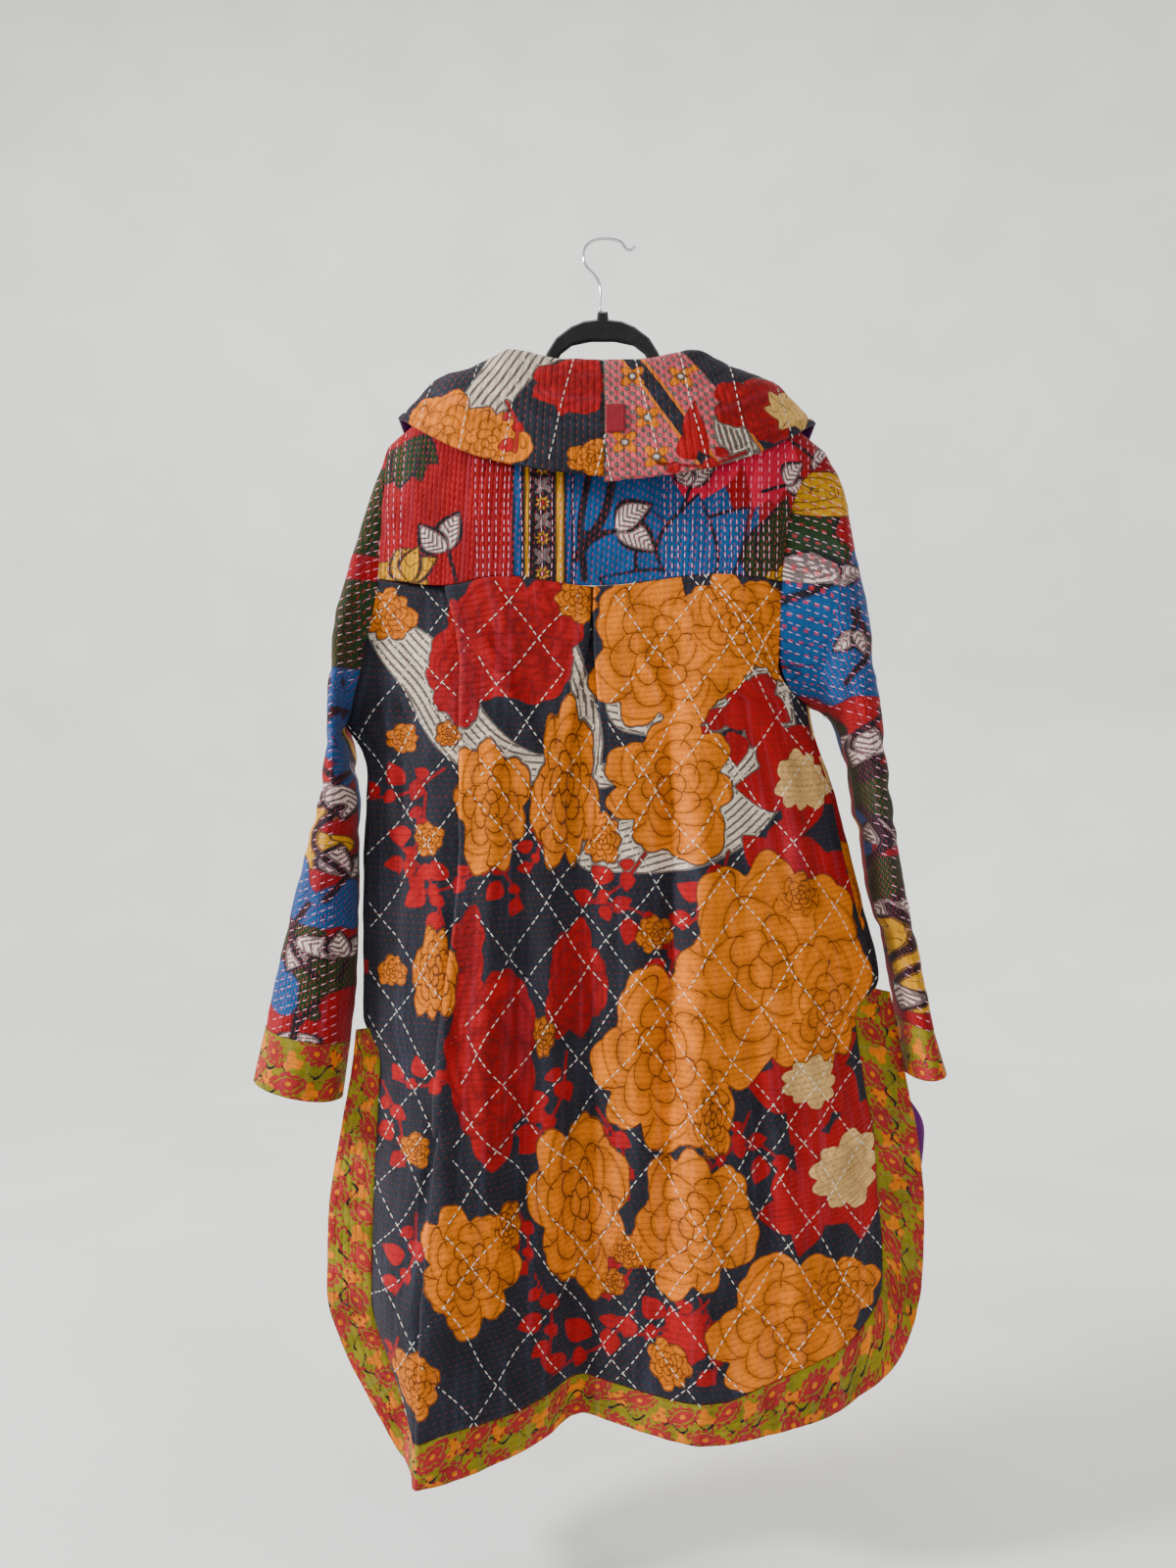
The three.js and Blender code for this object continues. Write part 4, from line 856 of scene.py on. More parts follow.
class Print:
    def __init__(self, x, down, ground=0):
        self.x, self.down = x, down
        self.votes = np.full((TONES,) + x.shape, -FAR)
        self.votes[ground] = FAR
        self.line = np.full(x.shape, FAR)
        self.bloom = np.full(x.shape + (3,), FAR)

    def lay(self, tone, inside, line=None):
        """Lay a patch of one tone over the rest, with its own drawn lines."""
        self.votes = np.minimum(self.votes, -inside)
        self.votes[tone] = np.maximum(self.votes[tone], inside)
        within = inside > -SPILL
        self.line = np.where(within, FAR if line is None else line, self.line)
        self.bloom[within] = FAR

    def polar(self, x, down, turn, tall=1.0):
        dx, dz = self.x - x, (self.down - down) / tall
        return np.hypot(dx, dz), np.arctan2(dz, dx) + math.radians(turn)

    def flower(self, tone, x, down, radius, turn, petals=7, tall=1.0):
        """A full round flower; its place and size go with it, for the drawn petals."""
        away, angle = self.polar(x, down, turn, tall)
        lobes = np.abs(np.sin(petals * angle / 2 + 0.6 * np.sin(2 * angle + turn)))
        edge = radius * (0.84 + 0.24 * lobes + 0.09 * np.cos(3 * angle + turn))
        edge += radius * (0.06 * np.cos(2 * angle + 2 * turn) + 0.05 * np.abs(np.sin(9 * angle)))
        self.lay(tone, edge - away)
        within = edge - away > -SPILL
        spot = np.stack([
            away * np.cos(angle) / radius, away * np.sin(angle) / radius,
            np.full(self.x.shape, radius),
        ], axis=-1)
        self.bloom[within] = spot[within]

    def blossom(self, tone, heart, x, down, radius, turn, petals=5):
        """A small open flower with a dot at its heart."""
        away, angle = self.polar(x, down, turn)
        edge = radius * (0.72 + 0.28 * np.cos(petals * angle))
        self.lay(tone, edge - away)
        self.lay(heart, radius * 0.28 - away)

    def leaf(self, tone, x, down, length, turn, width=0.42, veins=0.0):
        """A pointed leaf from its stem outwards; veins are the spacing of its drawn ribs."""
        dx, dz = self.x - x, self.down - down
        c, s = math.cos(math.radians(turn)), math.sin(math.radians(turn))
        run, side = (dx * c + dz * s) / length, -dx * s + dz * c
        bend = side - length * 0.12 * np.sin(np.pi * np.clip(run, 0, 1))
        half = length * width * np.sin(np.pi * np.clip(run, 0, 1) ** 0.8) * 0.8
        past = np.maximum(np.maximum(-run, run - 1), 0) * length
        line = bend
        if veins:
            line = np.sin((run * length - np.abs(bend) * 0.9) * np.pi / veins) * veins / np.pi
        self.lay(tone, half - np.abs(bend) - past * 1.5, line)

    def spray(self, tone, x, down, size, turn, count=5):
        """A bent twig with small leaves on short stalks."""
        c, s = math.cos(math.radians(turn)), math.sin(math.radians(turn))
        reach, bend = size * 1.05, size * 0.22
        for k in range(count):
            share = (k + 0.5) / count - 0.5
            side = 1 if k % 2 else -1
            px, pd = x + c * share * size * 1.7, down + s * share * size * 1.7
            length = size * (0.42 + 0.13 * (k % 3))
            self.leaf(tone, px, pd, length, turn + side * (38 + 17 * (k % 3)), 0.46)
        self.stroke(tone, [
            (x - c * reach, down - s * reach), (x - s * bend, down + c * bend),
            (x + c * reach, down + s * reach),
        ], 1.5)

    def petals(self, tone, x, down, size, turn, count=5):
        """A wide open flower of pointed petals."""
        for k in range(count):
            self.leaf(tone, x, down, size, turn + 360 * k / count, 0.44)

    def path(self, points):
        """Signed distance across a bent line, distance along it, and the nearest place."""
        best = np.full(self.x.shape, 1e9)
        across, run = np.zeros(self.x.shape), np.zeros(self.x.shape)
        start = 0.0
        for (x0, d0), (x1, d1) in zip(points, points[1:]):
            length = math.hypot(x1 - x0, d1 - d0)
            c, s = (x1 - x0) / length, (d1 - d0) / length
            u = (self.x - x0) * c + (self.down - d0) * s
            v = -(self.x - x0) * s + (self.down - d0) * c
            gap = np.hypot(u - np.clip(u, 0, length), v)
            nearer = gap < best
            best = np.where(nearer, gap, best)
            across = np.where(nearer, v, across)
            run = np.where(nearer, start + u, run)
            start += length
        return best, across, run

    def ribbon(self, tone, points, half, stripe):
        """A wide bent band with stripes along it."""
        best, across, run = self.path(smooth_line(points))
        width = half * (0.8 + 0.35 * np.sin(run / 55.0 + points[0][0]))
        wander = across + 1.5 * np.sin(run / 17.0)
        line = np.sin(wander * np.pi / stripe) * stripe / np.pi
        self.lay(tone, width - best, line)

    def stroke(self, tone, points, half):
        best, _, _ = self.path(smooth_line(points))
        self.lay(tone, half - best)

    def band(self, tone, low, high, line=None):
        """An upright band between two distances across."""
        inside = np.minimum(self.x - low, high - self.x)
        self.lay(tone, inside, line)

    def layers(self):
        """The tones and the line value as three vectors a point."""
        votes = np.clip(self.votes, -FAR, FAR)
        stack = np.concatenate([votes, self.line[None]])
        return {
            "tones_a": np.moveaxis(stack[0:3], 0, -1),
            "tones_b": np.moveaxis(stack[3:6], 0, -1),
            "tones_c": np.moveaxis(stack[6:9], 0, -1),
            "bloom": self.bloom,
        }


def smooth_line(points, steps=6):
    """Points on a smooth curve through a few points."""
    if len(points) < 3:
        return points
    knots = [np.array(p, float) for p in points]
    count = (len(knots) - 1) * steps
    return [tuple(centripetal(knots, k / count)) for k in range(count + 1)]


BODY_TONES = {"navy": 0, "red": 1, "gold": 2, "cream": 3, "pale_gold": 4}

# The back's printed flowers: kind, millimetres across, down, size and turn, and how much
# taller than wide where it isn't round
BACK_MOTIFS = [
    ("petals", -190, 539, 66, 10), ("petals", -174, 623, 49, 40), ("petals", -216, 642, 41, 0),
    ("petals", -200, 834, 66, 0), ("petals", -238, 925, 72, 30), ("petals", -193, 953, 49, 10),
    ("petals", -145, 473, 41, 15), ("petals", 128, 397, 34, 15), ("petals", -80, 1074, 30, 15),
    ("spray", 186, 596, 40, 70), ("spray", 150, 640, 36, 20), ("spray", -60, 720, 34, 80),
    ("spray", 66, 880, 44, 130), ("spray", -10, 905, 44, 110), ("spray", 205, 880, 38, 110),
    ("spray", -150, 905, 42, 150), ("spray", 60, 1060, 40, 100), ("spray", 10, 1090, 50, 40),
    ("spray", -60, 1060, 44, 30), ("spray", -20, 1010, 40, 70), ("spray", -206, 500, 44, 60),
    ("spray", 100, 640, 34, 130), ("spray", -10, 640, 38, 40), ("spray", -120, 498, 50, 175),
    ("spray", 194, 548, 41, 20), ("spray", 175, 647, 41, 120), ("spray", -98, 650, 41, 60),
    ("spray", -23, 676, 41, 160), ("spray", 52, 850, 45, 70), ("spray", -98, 1076, 40, 100),
    ("spray", 190, 1000, 41, 75), ("spray", 170, 830, 34, 10), ("spray", -117, 890, 34, 50),
    ("spray", 214, 1110, 34, 60), ("spray", 67, 605, 28, 80), ("spray", 80, 985, 34, 100),
    ("red", 98, 412, 62, 35, 0.95), ("red", 66, 400, 44, 0, 1.1), ("red", 142, 448, 26, 60, 1.5),
    ("red", 107, 812, 44, 20, 1.95), ("red", 27, 740, 29, 70, 1.8), ("red", 128, 700, 16, 60, 2.0),
    ("flower", -57, 421, 68, 10, 1.08), ("flower", -133, 392, 46, 50), ("flower", -176, 420, 28, 0),
    ("flower", 108, 568, 36, 20, 1.6), ("flower", 36, 552, 31, 70, 2.4),
    ("flower", -66, 552, 60, 60, 1.05), ("flower", -162, 724, 90, 15, 1.15),
    ("flower", -58, 816, 62, 35, 1.35), ("flower", -216, 770, 40, 45, 1.3),
    ("flower", 22, 955, 43, 25, 2.05), ("flower", 128, 1008, 42, 50, 1.38),
    ("flower", -86, 968, 54, 15, 1.25), ("flower", -180, 1074, 74, 35, 0.92),
    ("flower", -232, 1040, 34, 80), ("flower", 162, 732, 21, 40, 2.1), ("flower", 208, 383, 24, 10),
    ("flower", 24, 369, 20, 30, 1.1), ("flower", 92, 972, 12, 0, 2.0), ("flower", -104, 868, 18, 0, 2.0),
    ("flower", 196, 503, 15, 0), ("flower", 169, 601, 15, 20), ("flower", 206, 732, 15, 40),
    ("flower", 180, 899, 15, 60), ("flower", -49, 692, 17, 15), ("flower", -23, 1000, 13, 35, 1.2),
    ("flower", -10, 1032, 12, 5), ("flower", -63, 1104, 19, 50, 1.2), ("flower", 0, 602, 17, 5, 1.3),
    ("flower", 178, 1112, 22, 25, 1.3), ("flower", 57, 790, 10, 20, 1.8),
    ("flower", -190, 655, 20, 10), ("flower", 150, 500, 12, 10),
    ("star", -194, 546, 27, 10), ("star", -200, 836, 24, 0), ("star", -238, 925, 34, 30),
]
BACK_RIBBONS = [
    ([(250, 340), (203, 407), (166, 444), (137, 496), (90, 529), (0, 540)], 27),
    ([(-165, 420), (-158, 520), (-125, 560), (-70, 592), (10, 612)], 38),
    ([(42, 380), (24, 444), (15, 510), (43, 595)], 16),
    ([(-30, 470), (-98, 478), (-145, 454), (-185, 440)], 26),
]


def floral(paint, motifs, ribbons, tones):
    """Lay ribbons, then flowers and leaves, in the tables' order."""
    for points, half in ribbons:
        paint.ribbon(tones["cream"], points, half, 6.6)
    for kind, x, down, size, turn, *tall in motifs:
        if kind == "flower":
            paint.flower(tones["gold"], x, down, size, turn, 7, *tall)
        elif kind == "red":
            paint.flower(tones["red"], x, down, size, turn, 5, *tall)
        elif kind == "spray":
            paint.spray(tones["red"], x, down, size, turn)
        elif kind == "petals":
            paint.petals(tones["red"], x, down, size, turn)
        else:
            paint.flower(tones["pale_gold"], x, down, size, turn, 9)


CLOTH_TONES = {
    "red": 0, "blue": 1, "yellow": 2, "cream": 3, "green": 4, "black": 5, "pink": 6,
}


def leaf_pair(paint, tones, x, down, size, turn):
    """Two striped leaves on a stem."""
    for swing in (-32, 32):
        paint.leaf(tones["black"], x, down, size * 1.08, turn + swing, 0.42)
        paint.leaf(tones["cream"], x, down, size, turn + swing, 0.34, veins=5.6)
    c, s = math.cos(math.radians(turn)), math.sin(math.radians(turn))
    paint.stroke(tones["black"], [(x, down), (x - c * size * 0.8, down - s * size * 0.8)], 1.8)


def outlined(paint, tones, tone, x, down, length, turn, width):
    """A pointed petal with a dark outline and a few ribs."""
    paint.leaf(tones["black"], x, down, length * 1.03, turn, width + 2.6 / length)
    paint.leaf(tones[tone], x, down, length, turn, width, veins=14.0)


def paint_yoke(x, down):
    """Red ground on the left, a woven stripe, then blue with leaves and a large flower."""
    t = CLOTH_TONES
    paint = Print(x, down, t["red"])
    paint.band(t["blue"], -150, 124)
    paint.lay(t["red"], np.minimum(x + 152, -118 - x) + (down - 262) * -0.3)
    for turn in (150, 60, 120, 90):
        outlined(paint, t, "green", 200, 214, 46, turn, 0.36)
    leaf_pair(paint, t, 150, 322, 38, -75)
    paint.flower(t["yellow"], 196, 346, 26, 0, 6)
    for turn in (-140, -70, -105):
        outlined(paint, t, "yellow", 188, 352, 36, turn, 0.34)
    outlined(paint, t, "green", 90, 338, 48, 160, 0.30)
    paint.band(t["red"], 84, 124)
    for low, high, tone in (
        (29, 88, "black"), (79, 86, "blue"), (71, 76, "yellow"), (48, 69, "black"),
        (38, 46, "yellow"), (31, 36, "blue"),
    ):
        paint.band(t[tone], low, high)
    for k in range(8):
        middle = 226 + 17 * k
        if k % 2:
            paint.blossom(t["yellow"], t["red"], 58.5, middle, 8.5, 10 * k, 8)
        else:
            for swing in (45, 135, 225, 315):
                paint.leaf(t["cream"], 58.5, middle, 11, swing, 0.3)
    paint.stroke(t["black"], [(26, 330), (-2, 285), (-10, 240), (-14, 200)], 4)
    paint.stroke(t["black"], [(18, 350), (22, 300), (12, 240)], 3)
    paint.stroke(t["black"], [(20, 318), (-4, 306), (-30, 300)], 2)
    for x0, turn in ((-70, 100), (-104, 75), (-136, 110), (-160, 80)):
        paint.leaf(t["pink"], x0, 196, 88, turn, 0.40)
    for turn in (300, 190, 350, 240, 270):
        outlined(paint, t, "blue", -92, 366, 96, turn, 0.36)
    leaf_pair(paint, t, -12, 304, 42, 184)
    leaf_pair(paint, t, -84, 262, 30, 250)
    for x0, down0, turn in ((-150, 368, 250), (-176, 362, 268), (-196, 340, 240)):
        outlined(paint, t, "green", x0, down0, 92, turn, 0.25)
    leaf_pair(paint, t, -176, 258, 30, 200)
    leaf_pair(paint, t, -206, 226, 30, 150)
    paint.flower(t["yellow"], -176, 352, 17, 0, 6)
    return paint


# Patches on the sleeves: tone, millimetres across and down, and size
SLEEVE_PATCHES = {
    "left": [
        ("green", 206, 300, 70), ("green", 236, 400, 66), ("green", 212, 230, 50),
        ("blue", 258, 470, 44), ("blue", 240, 520, 34), ("red", 230, 560, 34),
        ("yellow", 292, 575, 34), ("yellow", 278, 610, 22), ("blue", 306, 655, 34),
        ("blue", 262, 670, 26), ("green", 272, 735, 40), ("red", 262, 780, 30),
        ("blue", 320, 745, 30), ("green", 300, 700, 22),
    ],
    "right": [
        ("green", -192, 300, 46), ("yellow", -232, 262, 26), ("green", -206, 345, 34),
        ("blue", -222, 390, 44), ("blue", -250, 350, 30), ("blue", -236, 440, 34),
        ("green", -214, 500, 30), ("green", -266, 560, 34), ("blue", -252, 600, 24),
        ("yellow", -296, 690, 34), ("green", -276, 640, 26), ("yellow", -316, 745, 30),
        ("green", -300, 640, 18),
    ],
}
# Pairs of striped leaves on them: millimetres across and down, size and turn
SLEEVE_LEAVES = {
    "left": [
        (262, 548, 34, 60), (240, 500, 28, 250), (262, 640, 32, 240), (296, 700, 32, 110),
        (300, 790, 28, 80), (262, 720, 28, 250), (282, 440, 26, 90),
    ],
    "right": [
        (-222, 356, 32, 240), (-240, 400, 26, 80), (-252, 500, 32, 60), (-266, 520, 28, 250),
        (-276, 608, 28, 250), (-296, 745, 28, 70), (-200, 250, 26, 60), (-286, 660, 26, 80),
    ],
}


def paint_sleeve(side):
    """Large patches of colour along the sleeve, with striped leaves and dark stems."""
    def painter(x, down):
        t = CLOTH_TONES
        paint = Print(x, down, t["red"])
        for name, px, pd, size in SLEEVE_PATCHES[side]:
            away, angle = paint.polar(px, pd, px + pd)
            edge = size * (0.92 + 0.16 * np.cos(3 * angle) + 0.09 * np.cos(5 * angle + pd))
            step = size * 0.45
            line = np.sin(np.pi * (away + 6 * np.sin(4 * angle)) / step) * step / np.pi
            paint.lay(t[name], edge - away, line)
        for px, pd, size, turn in SLEEVE_LEAVES[side]:
            leaf_pair(paint, t, px, pd, size, turn)
        sign = 1 if side == "left" else -1
        for k in range(5):
            base = 380 + 95 * k
            px = sign * (238 + 0.12 * (base - 380) + 12 * (k % 2))
            paint.stroke(t["black"], [(px, base), (px + sign * 16, base + 34), (px, base + 70)], 2.2)
        return paint
    return painter


def paint_front(side):
    """The same printed cloth as the back's, with its flowers elsewhere."""
    sign = 1 if side == "left" else -1

    def painter(x, down):
        paint = Print(x, down, BODY_TONES["navy"])
        shifted = [
            (kind, sign * abs(px) * 0.86 + sign * 24, pd - 60, size, -turn, *tall)
            for kind, px, pd, size, turn, *tall in BACK_MOTIFS
            if px * sign > -40
        ]
        ribbons = [
            ([(sign * (abs(px) + 10), pd - 90) for px, pd in points], half)
            for points, half in BACK_RIBBONS
        ]
        low = [
            (kind, px, pd - 330, size, turn + 90, *tall)
            for kind, px, pd, size, turn, *tall in shifted
            if pd > 560
        ]
        floral(paint, low + shifted, ribbons, BODY_TONES)
        return paint
    return painter


def paint_back(x, down):
    paint = Print(x, down, BODY_TONES["navy"])
    floral(paint, BACK_MOTIFS, BACK_RIBBONS, BODY_TONES)
    return paint


BORDER_TONES = {"olive": 0, "rose": 1, "gold": 2, "black": 3}


def paint_border(x, down):
    """Eye-shaped medallions along a band, between gold patches and stepped dark vines.
    Here x runs along the band and down across it."""
    t = BORDER_TONES
    paint = Print(x, down, t["olive"])
    pitch = 44.0
    first, last = int(x.min() / pitch) - 1, int(x.max() / pitch) + 2
    for k in range(first, last):
        for row, shift, lean in ((12, 0.0, 32), (42, 0.5, -28), (70, 0.0, 34)):
            px = (k + shift) * pitch
            pd = row + 4 * math.sin(k * 2.1 + row)
            lean += 16 * math.sin(k * 1.7)
            away, angle = paint.polar(px + pitch / 2, pd + 5, 0)
            steps = 2.6 * np.round(np.sin(3 * angle + k) * 1.5)
            paint.lay(t["gold"], 8.0 + steps - away)
            vine = down - pd - 15 + 5.0 * np.sin(x / 4.2 + k) + 4 * np.sin(x / 17.0)
            close = pitch * 0.44 - np.abs(x - px - pitch * 0.3)
            paint.lay(t["black"], np.minimum(1.4 - np.abs(vine), close))
            c, s = math.cos(math.radians(lean)), math.sin(math.radians(lean))
            u = (x - px) * c + (down - pd) * s
            v = -(x - px) * s + (down - pd) * c
            eye = 11.0 * np.cos(np.clip(u / 12.5, -1.57, 1.57)) - np.abs(v)
            paint.lay(t["rose"], eye + 1.3 * np.sign(np.sin(u * 0.9)))
            paint.lay(t["olive"], eye - 3.2)
            paint.lay(t["rose"], eye - 5.0)
            paint.lay(t["gold"], 3.2 - np.hypot(u, v * 1.3))
    return paint


COLLAR_TONES = {
    "cream": 0, "red": 1, "gold": 2, "navy": 3, "pink": 4, "orange": 5, "pale_gold": 6,
}


def paint_collar(side):
    """Left: cream with dark stripes, a red flower, a gold one and navy. Right: a pink check
    with gold four-petalled flowers between slanting bars, then navy, red and cream."""
    def painter(x, down):
        t = COLLAR_TONES
        paint = Print(x, down, t["navy"])
        if side == "left":
            paint.ribbon(t["cream"], [(160, 260), (70, 100)], 52, 8.0)
            paint.flower(t["gold"], 150, 212, 46, 10, 6)
            paint.flower(t["gold"], 108, 222, 34, 40, 6)
            paint.petals(t["red"], 36, 160, 36, 20, 6)
            paint.flower(t["red"], 30, 158, 33, 0, 5)
            paint.spray(t["red"], 88, 205, 26, 100, 3)
            paint.flower(t["gold"], 12, 240, 20, 0, 5)
            paint.flower(t["gold"], 190, 300, 40, 10)
            paint.flower(t["red"], 120, 320, 44, 60)
            paint.ribbon(t["cream"], [(60, 290), (110, 400), (60, 470)], 18, 5.4)
            paint.flower(t["gold"], 60, 400, 36, 30)
        else:
            check = np.sin(x * 0.62) * np.sin(down * 0.62) * 3
            paint.band(t["cream"], -150, 0, check)
            paint.lay(t["pink"], np.minimum(np.minimum(x + 112, -x - 2), check * 0.9 + 0.2))
            slant = x + (down - 120) * 0.62
            for middle, half in ((-22, 7), (-100, 10)):
                paint.lay(t["orange"], half + 3.2 - np.abs(slant - middle) * 0.85)
                paint.lay(t["navy"], half - np.abs(slant - middle) * 0.85)
            for px, pd in ((-75, 150), (-42, 196), (-28, 150), (-50, 238), (-20, 222), (-95, 132)):
                paint.blossom(t["gold"], t["cream"], px, pd, 15, 45, 4)
            paint.lay(t["navy"], -108 - x - (down - 160) * 0.7)
            paint.ribbon(t["cream"], [(-130, 240), (-120, 190), (-170, 130)], 15, 5.4)
            paint.flower(t["red"], -150, 178, 38, 0, 5)
            paint.leaf(t["red"], -98, 235, 60, -80, 0.24)
            paint.spray(t["red"], -95, 238, 40, 10, 4)
            paint.petals(t["pale_gold"], -184, 176, 30, 10, 7)
            paint.flower(t["gold"], -170, 320, 40, 10)
            paint.flower(t["red"], -110, 330, 40, 100)
            paint.ribbon(t["cream"], [(-60, 280), (-100, 380), (-50, 470)], 18, 5.4)
            paint.flower(t["gold"], -60, 400, 34, 30)
        return paint
    return painter


# Materials

class Shader:
    """A material being built from nodes; each method returns the new node's output."""

    def __init__(self, name):
        self.material = bpy.data.materials.new(name)
        self.material.use_nodes = True
        self.tree = self.material.node_tree
        self.tree.nodes.clear()
        self.surface = self.tree.nodes.new("ShaderNodeBsdfPrincipled")
        output = self.tree.nodes.new("ShaderNodeOutputMaterial")
        self.tree.links.new(self.surface.outputs[0], output.inputs[0])

    def add(self, kind, inputs=(), out=0, **settings):
        node = self.tree.nodes.new("ShaderNode" + kind)
        for key, value in settings.items():
            setattr(node, key, value)
        for key, value in dict(inputs).items():
            self.put(node.inputs[key], value)
        return node.outputs[out]

    def put(self, socket, value):
        if isinstance(value, bpy.types.NodeSocket):
            self.tree.links.new(value, socket)
        else:
            socket.default_value = value[:3] if socket.type == "VECTOR" else value

    def math(self, operation, *values):
        return self.add("Math", enumerate(values), operation=operation)

    def colours(self, share, a, b, blend_type="MIX"):
        return self.add(
            "Mix", [(0, share), (6, a), (7, b)], out=2, data_type="RGBA", blend_type=blend_type
        )

    def numbers(self, share, a, b):
        return self.add("Mix", [(0, share), (2, a), (3, b)], data_type="FLOAT")

    def ramp(self, value, low, high, start=0.0, end=1.0):
        """A smooth step from start to end as value goes from low to high."""
        inputs = enumerate((value, low, high, start, end))
        return self.add("MapRange", inputs, interpolation_type="SMOOTHSTEP")

    def attribute(self, name):
        return self.add("Attribute", out=1, attribute_name=name)

    def parts(self, vector):
        node = self.tree.nodes.new("ShaderNodeSeparateXYZ")
        self.put(node.inputs[0], vector)
        return list(node.outputs)

    def scaled(self, x, y, z=0.0):
        return self.add("CombineXYZ", enumerate((x, y, z)))

    def noise(self, vector, scale, detail=2.0, roughness=0.5):
        inputs = {"Vector": vector, "Scale": scale, "Detail": detail, "Roughness": roughness}
        return self.add("TexNoise", inputs.items())

    def finish(self, colour=None, roughness=None, bump=None, strength=1.0, distance=0.001, **fixed):
        if colour is not None:
            self.put(self.surface.inputs["Base Color"], colour)
        if roughness is not None:
            self.put(self.surface.inputs["Roughness"], roughness)
        if bump is not None:
            inputs = {"Strength": strength, "Distance": distance, "Height": bump}
            self.put(self.surface.inputs["Normal"], self.add("Bump", inputs.items()))
        for name, value in fixed.items():
            self.surface.inputs[name.replace("_", " ")].default_value = value
        return self.material


def rgb(red, green, blue):
    """A colour as seen on screen, as the linear colour that a shader takes."""
    return tuple(
        (v / 12.92 if v <= 0.04045 else ((v + 0.055) / 1.055) ** 2.4) for v in (red, green, blue)
    ) + (1.0,)


EDGE_SOFTNESS = 0.35
PRINT_WANDER = 1.5


def weave_height(s, across, down):
    """Threads across and down with slubs, for the bump of a handwoven cotton."""
    warp = s.math("SINE", s.math("MULTIPLY", across, 5.2))
    weft = s.math("SINE", s.math("MULTIPLY", down, 5.2))
    slub = s.noise(s.scaled(s.math("MULTIPLY", across, 0.15), s.math("MULTIPLY", down, 1.3)), 1.0)
    threads = s.math("MULTIPLY", s.math("MULTIPLY", warp, weft), 0.16)
    return s.math("ADD", threads, slub), slub


def running_rows(s, along_row, between, spacing, dash, phase=2.4):
    """Rows of running stitch: how much a point is on a stitch, and how deep its row lies."""
    wander = s.noise(s.scaled(s.math("MULTIPLY", along_row, 0.03), between), 0.35)
    place = s.math("ADD", s.math("DIVIDE", between, spacing), s.math("MULTIPLY", wander, 0.5))
    row = s.math("FLOOR", place)
    inside = s.math("ABSOLUTE", s.math("SUBTRACT", s.math("SUBTRACT", place, row), 0.5))
    turn = s.math("MULTIPLY", along_row, 6.2832 / dash)
    swing = s.math("SINE", s.math("ADD", turn, s.math("MULTIPLY", row, phase)))
    on_row = s.ramp(inside, 0.13, 0.07)
    stitch = s.math("MULTIPLY", on_row, s.ramp(swing, 0.05, 0.35))
    channel = s.ramp(inside, 0.34, 0.0)
    return stitch, channel


def petal_lines(s, wander):
    """Distance in millimetres to the nearest petal's outline in a full flower."""
    u, v, radius = s.parts(s.attribute("bloom"))
    u = s.math("ADD", u, s.math("DIVIDE", wander, radius))
    v = s.math("SUBTRACT", v, s.math("DIVIDE", wander, radius))
    away = s.add("VectorMath", [(0, s.scaled(u, v))], out=1, operation="LENGTH")
    angle = s.math("ARCTAN2", v, u)
    angle = s.math("ADD", angle, s.math("MULTIPLY", s.math("SINE", s.math("MULTIPLY", away, 7.0)), 0.25))
    found = None
    for inner, outer, petals, turn in (
        (0.66, 0.98, 7, 0.4), (0.42, 0.72, 6, 1.3), (0.20, 0.47, 5, 2.1), (0.0, 0.24, 3, 0.2),
    ):
        swing = s.math("ABSOLUTE", s.math("SINE", s.math("MULTIPLY_ADD", angle, petals / 2, turn)))
        edge = s.math("MULTIPLY", s.math("MULTIPLY_ADD", swing, 0.28, 0.76), outer)
        arc = s.math("ABSOLUTE", s.math("SUBTRACT", away, edge))
        side = s.math("MULTIPLY", s.math("MULTIPLY", swing, 2 / petals), away)
        past = s.math("MAXIMUM", s.math("SUBTRACT", away, edge), s.math("SUBTRACT", inner, away))
        side = s.math("MAXIMUM", side, past)
        near = s.math("MINIMUM", arc, side)
        found = near if found is None else s.math("MINIMUM", found, near)
    return s.math("MULTIPLY", found, radius)


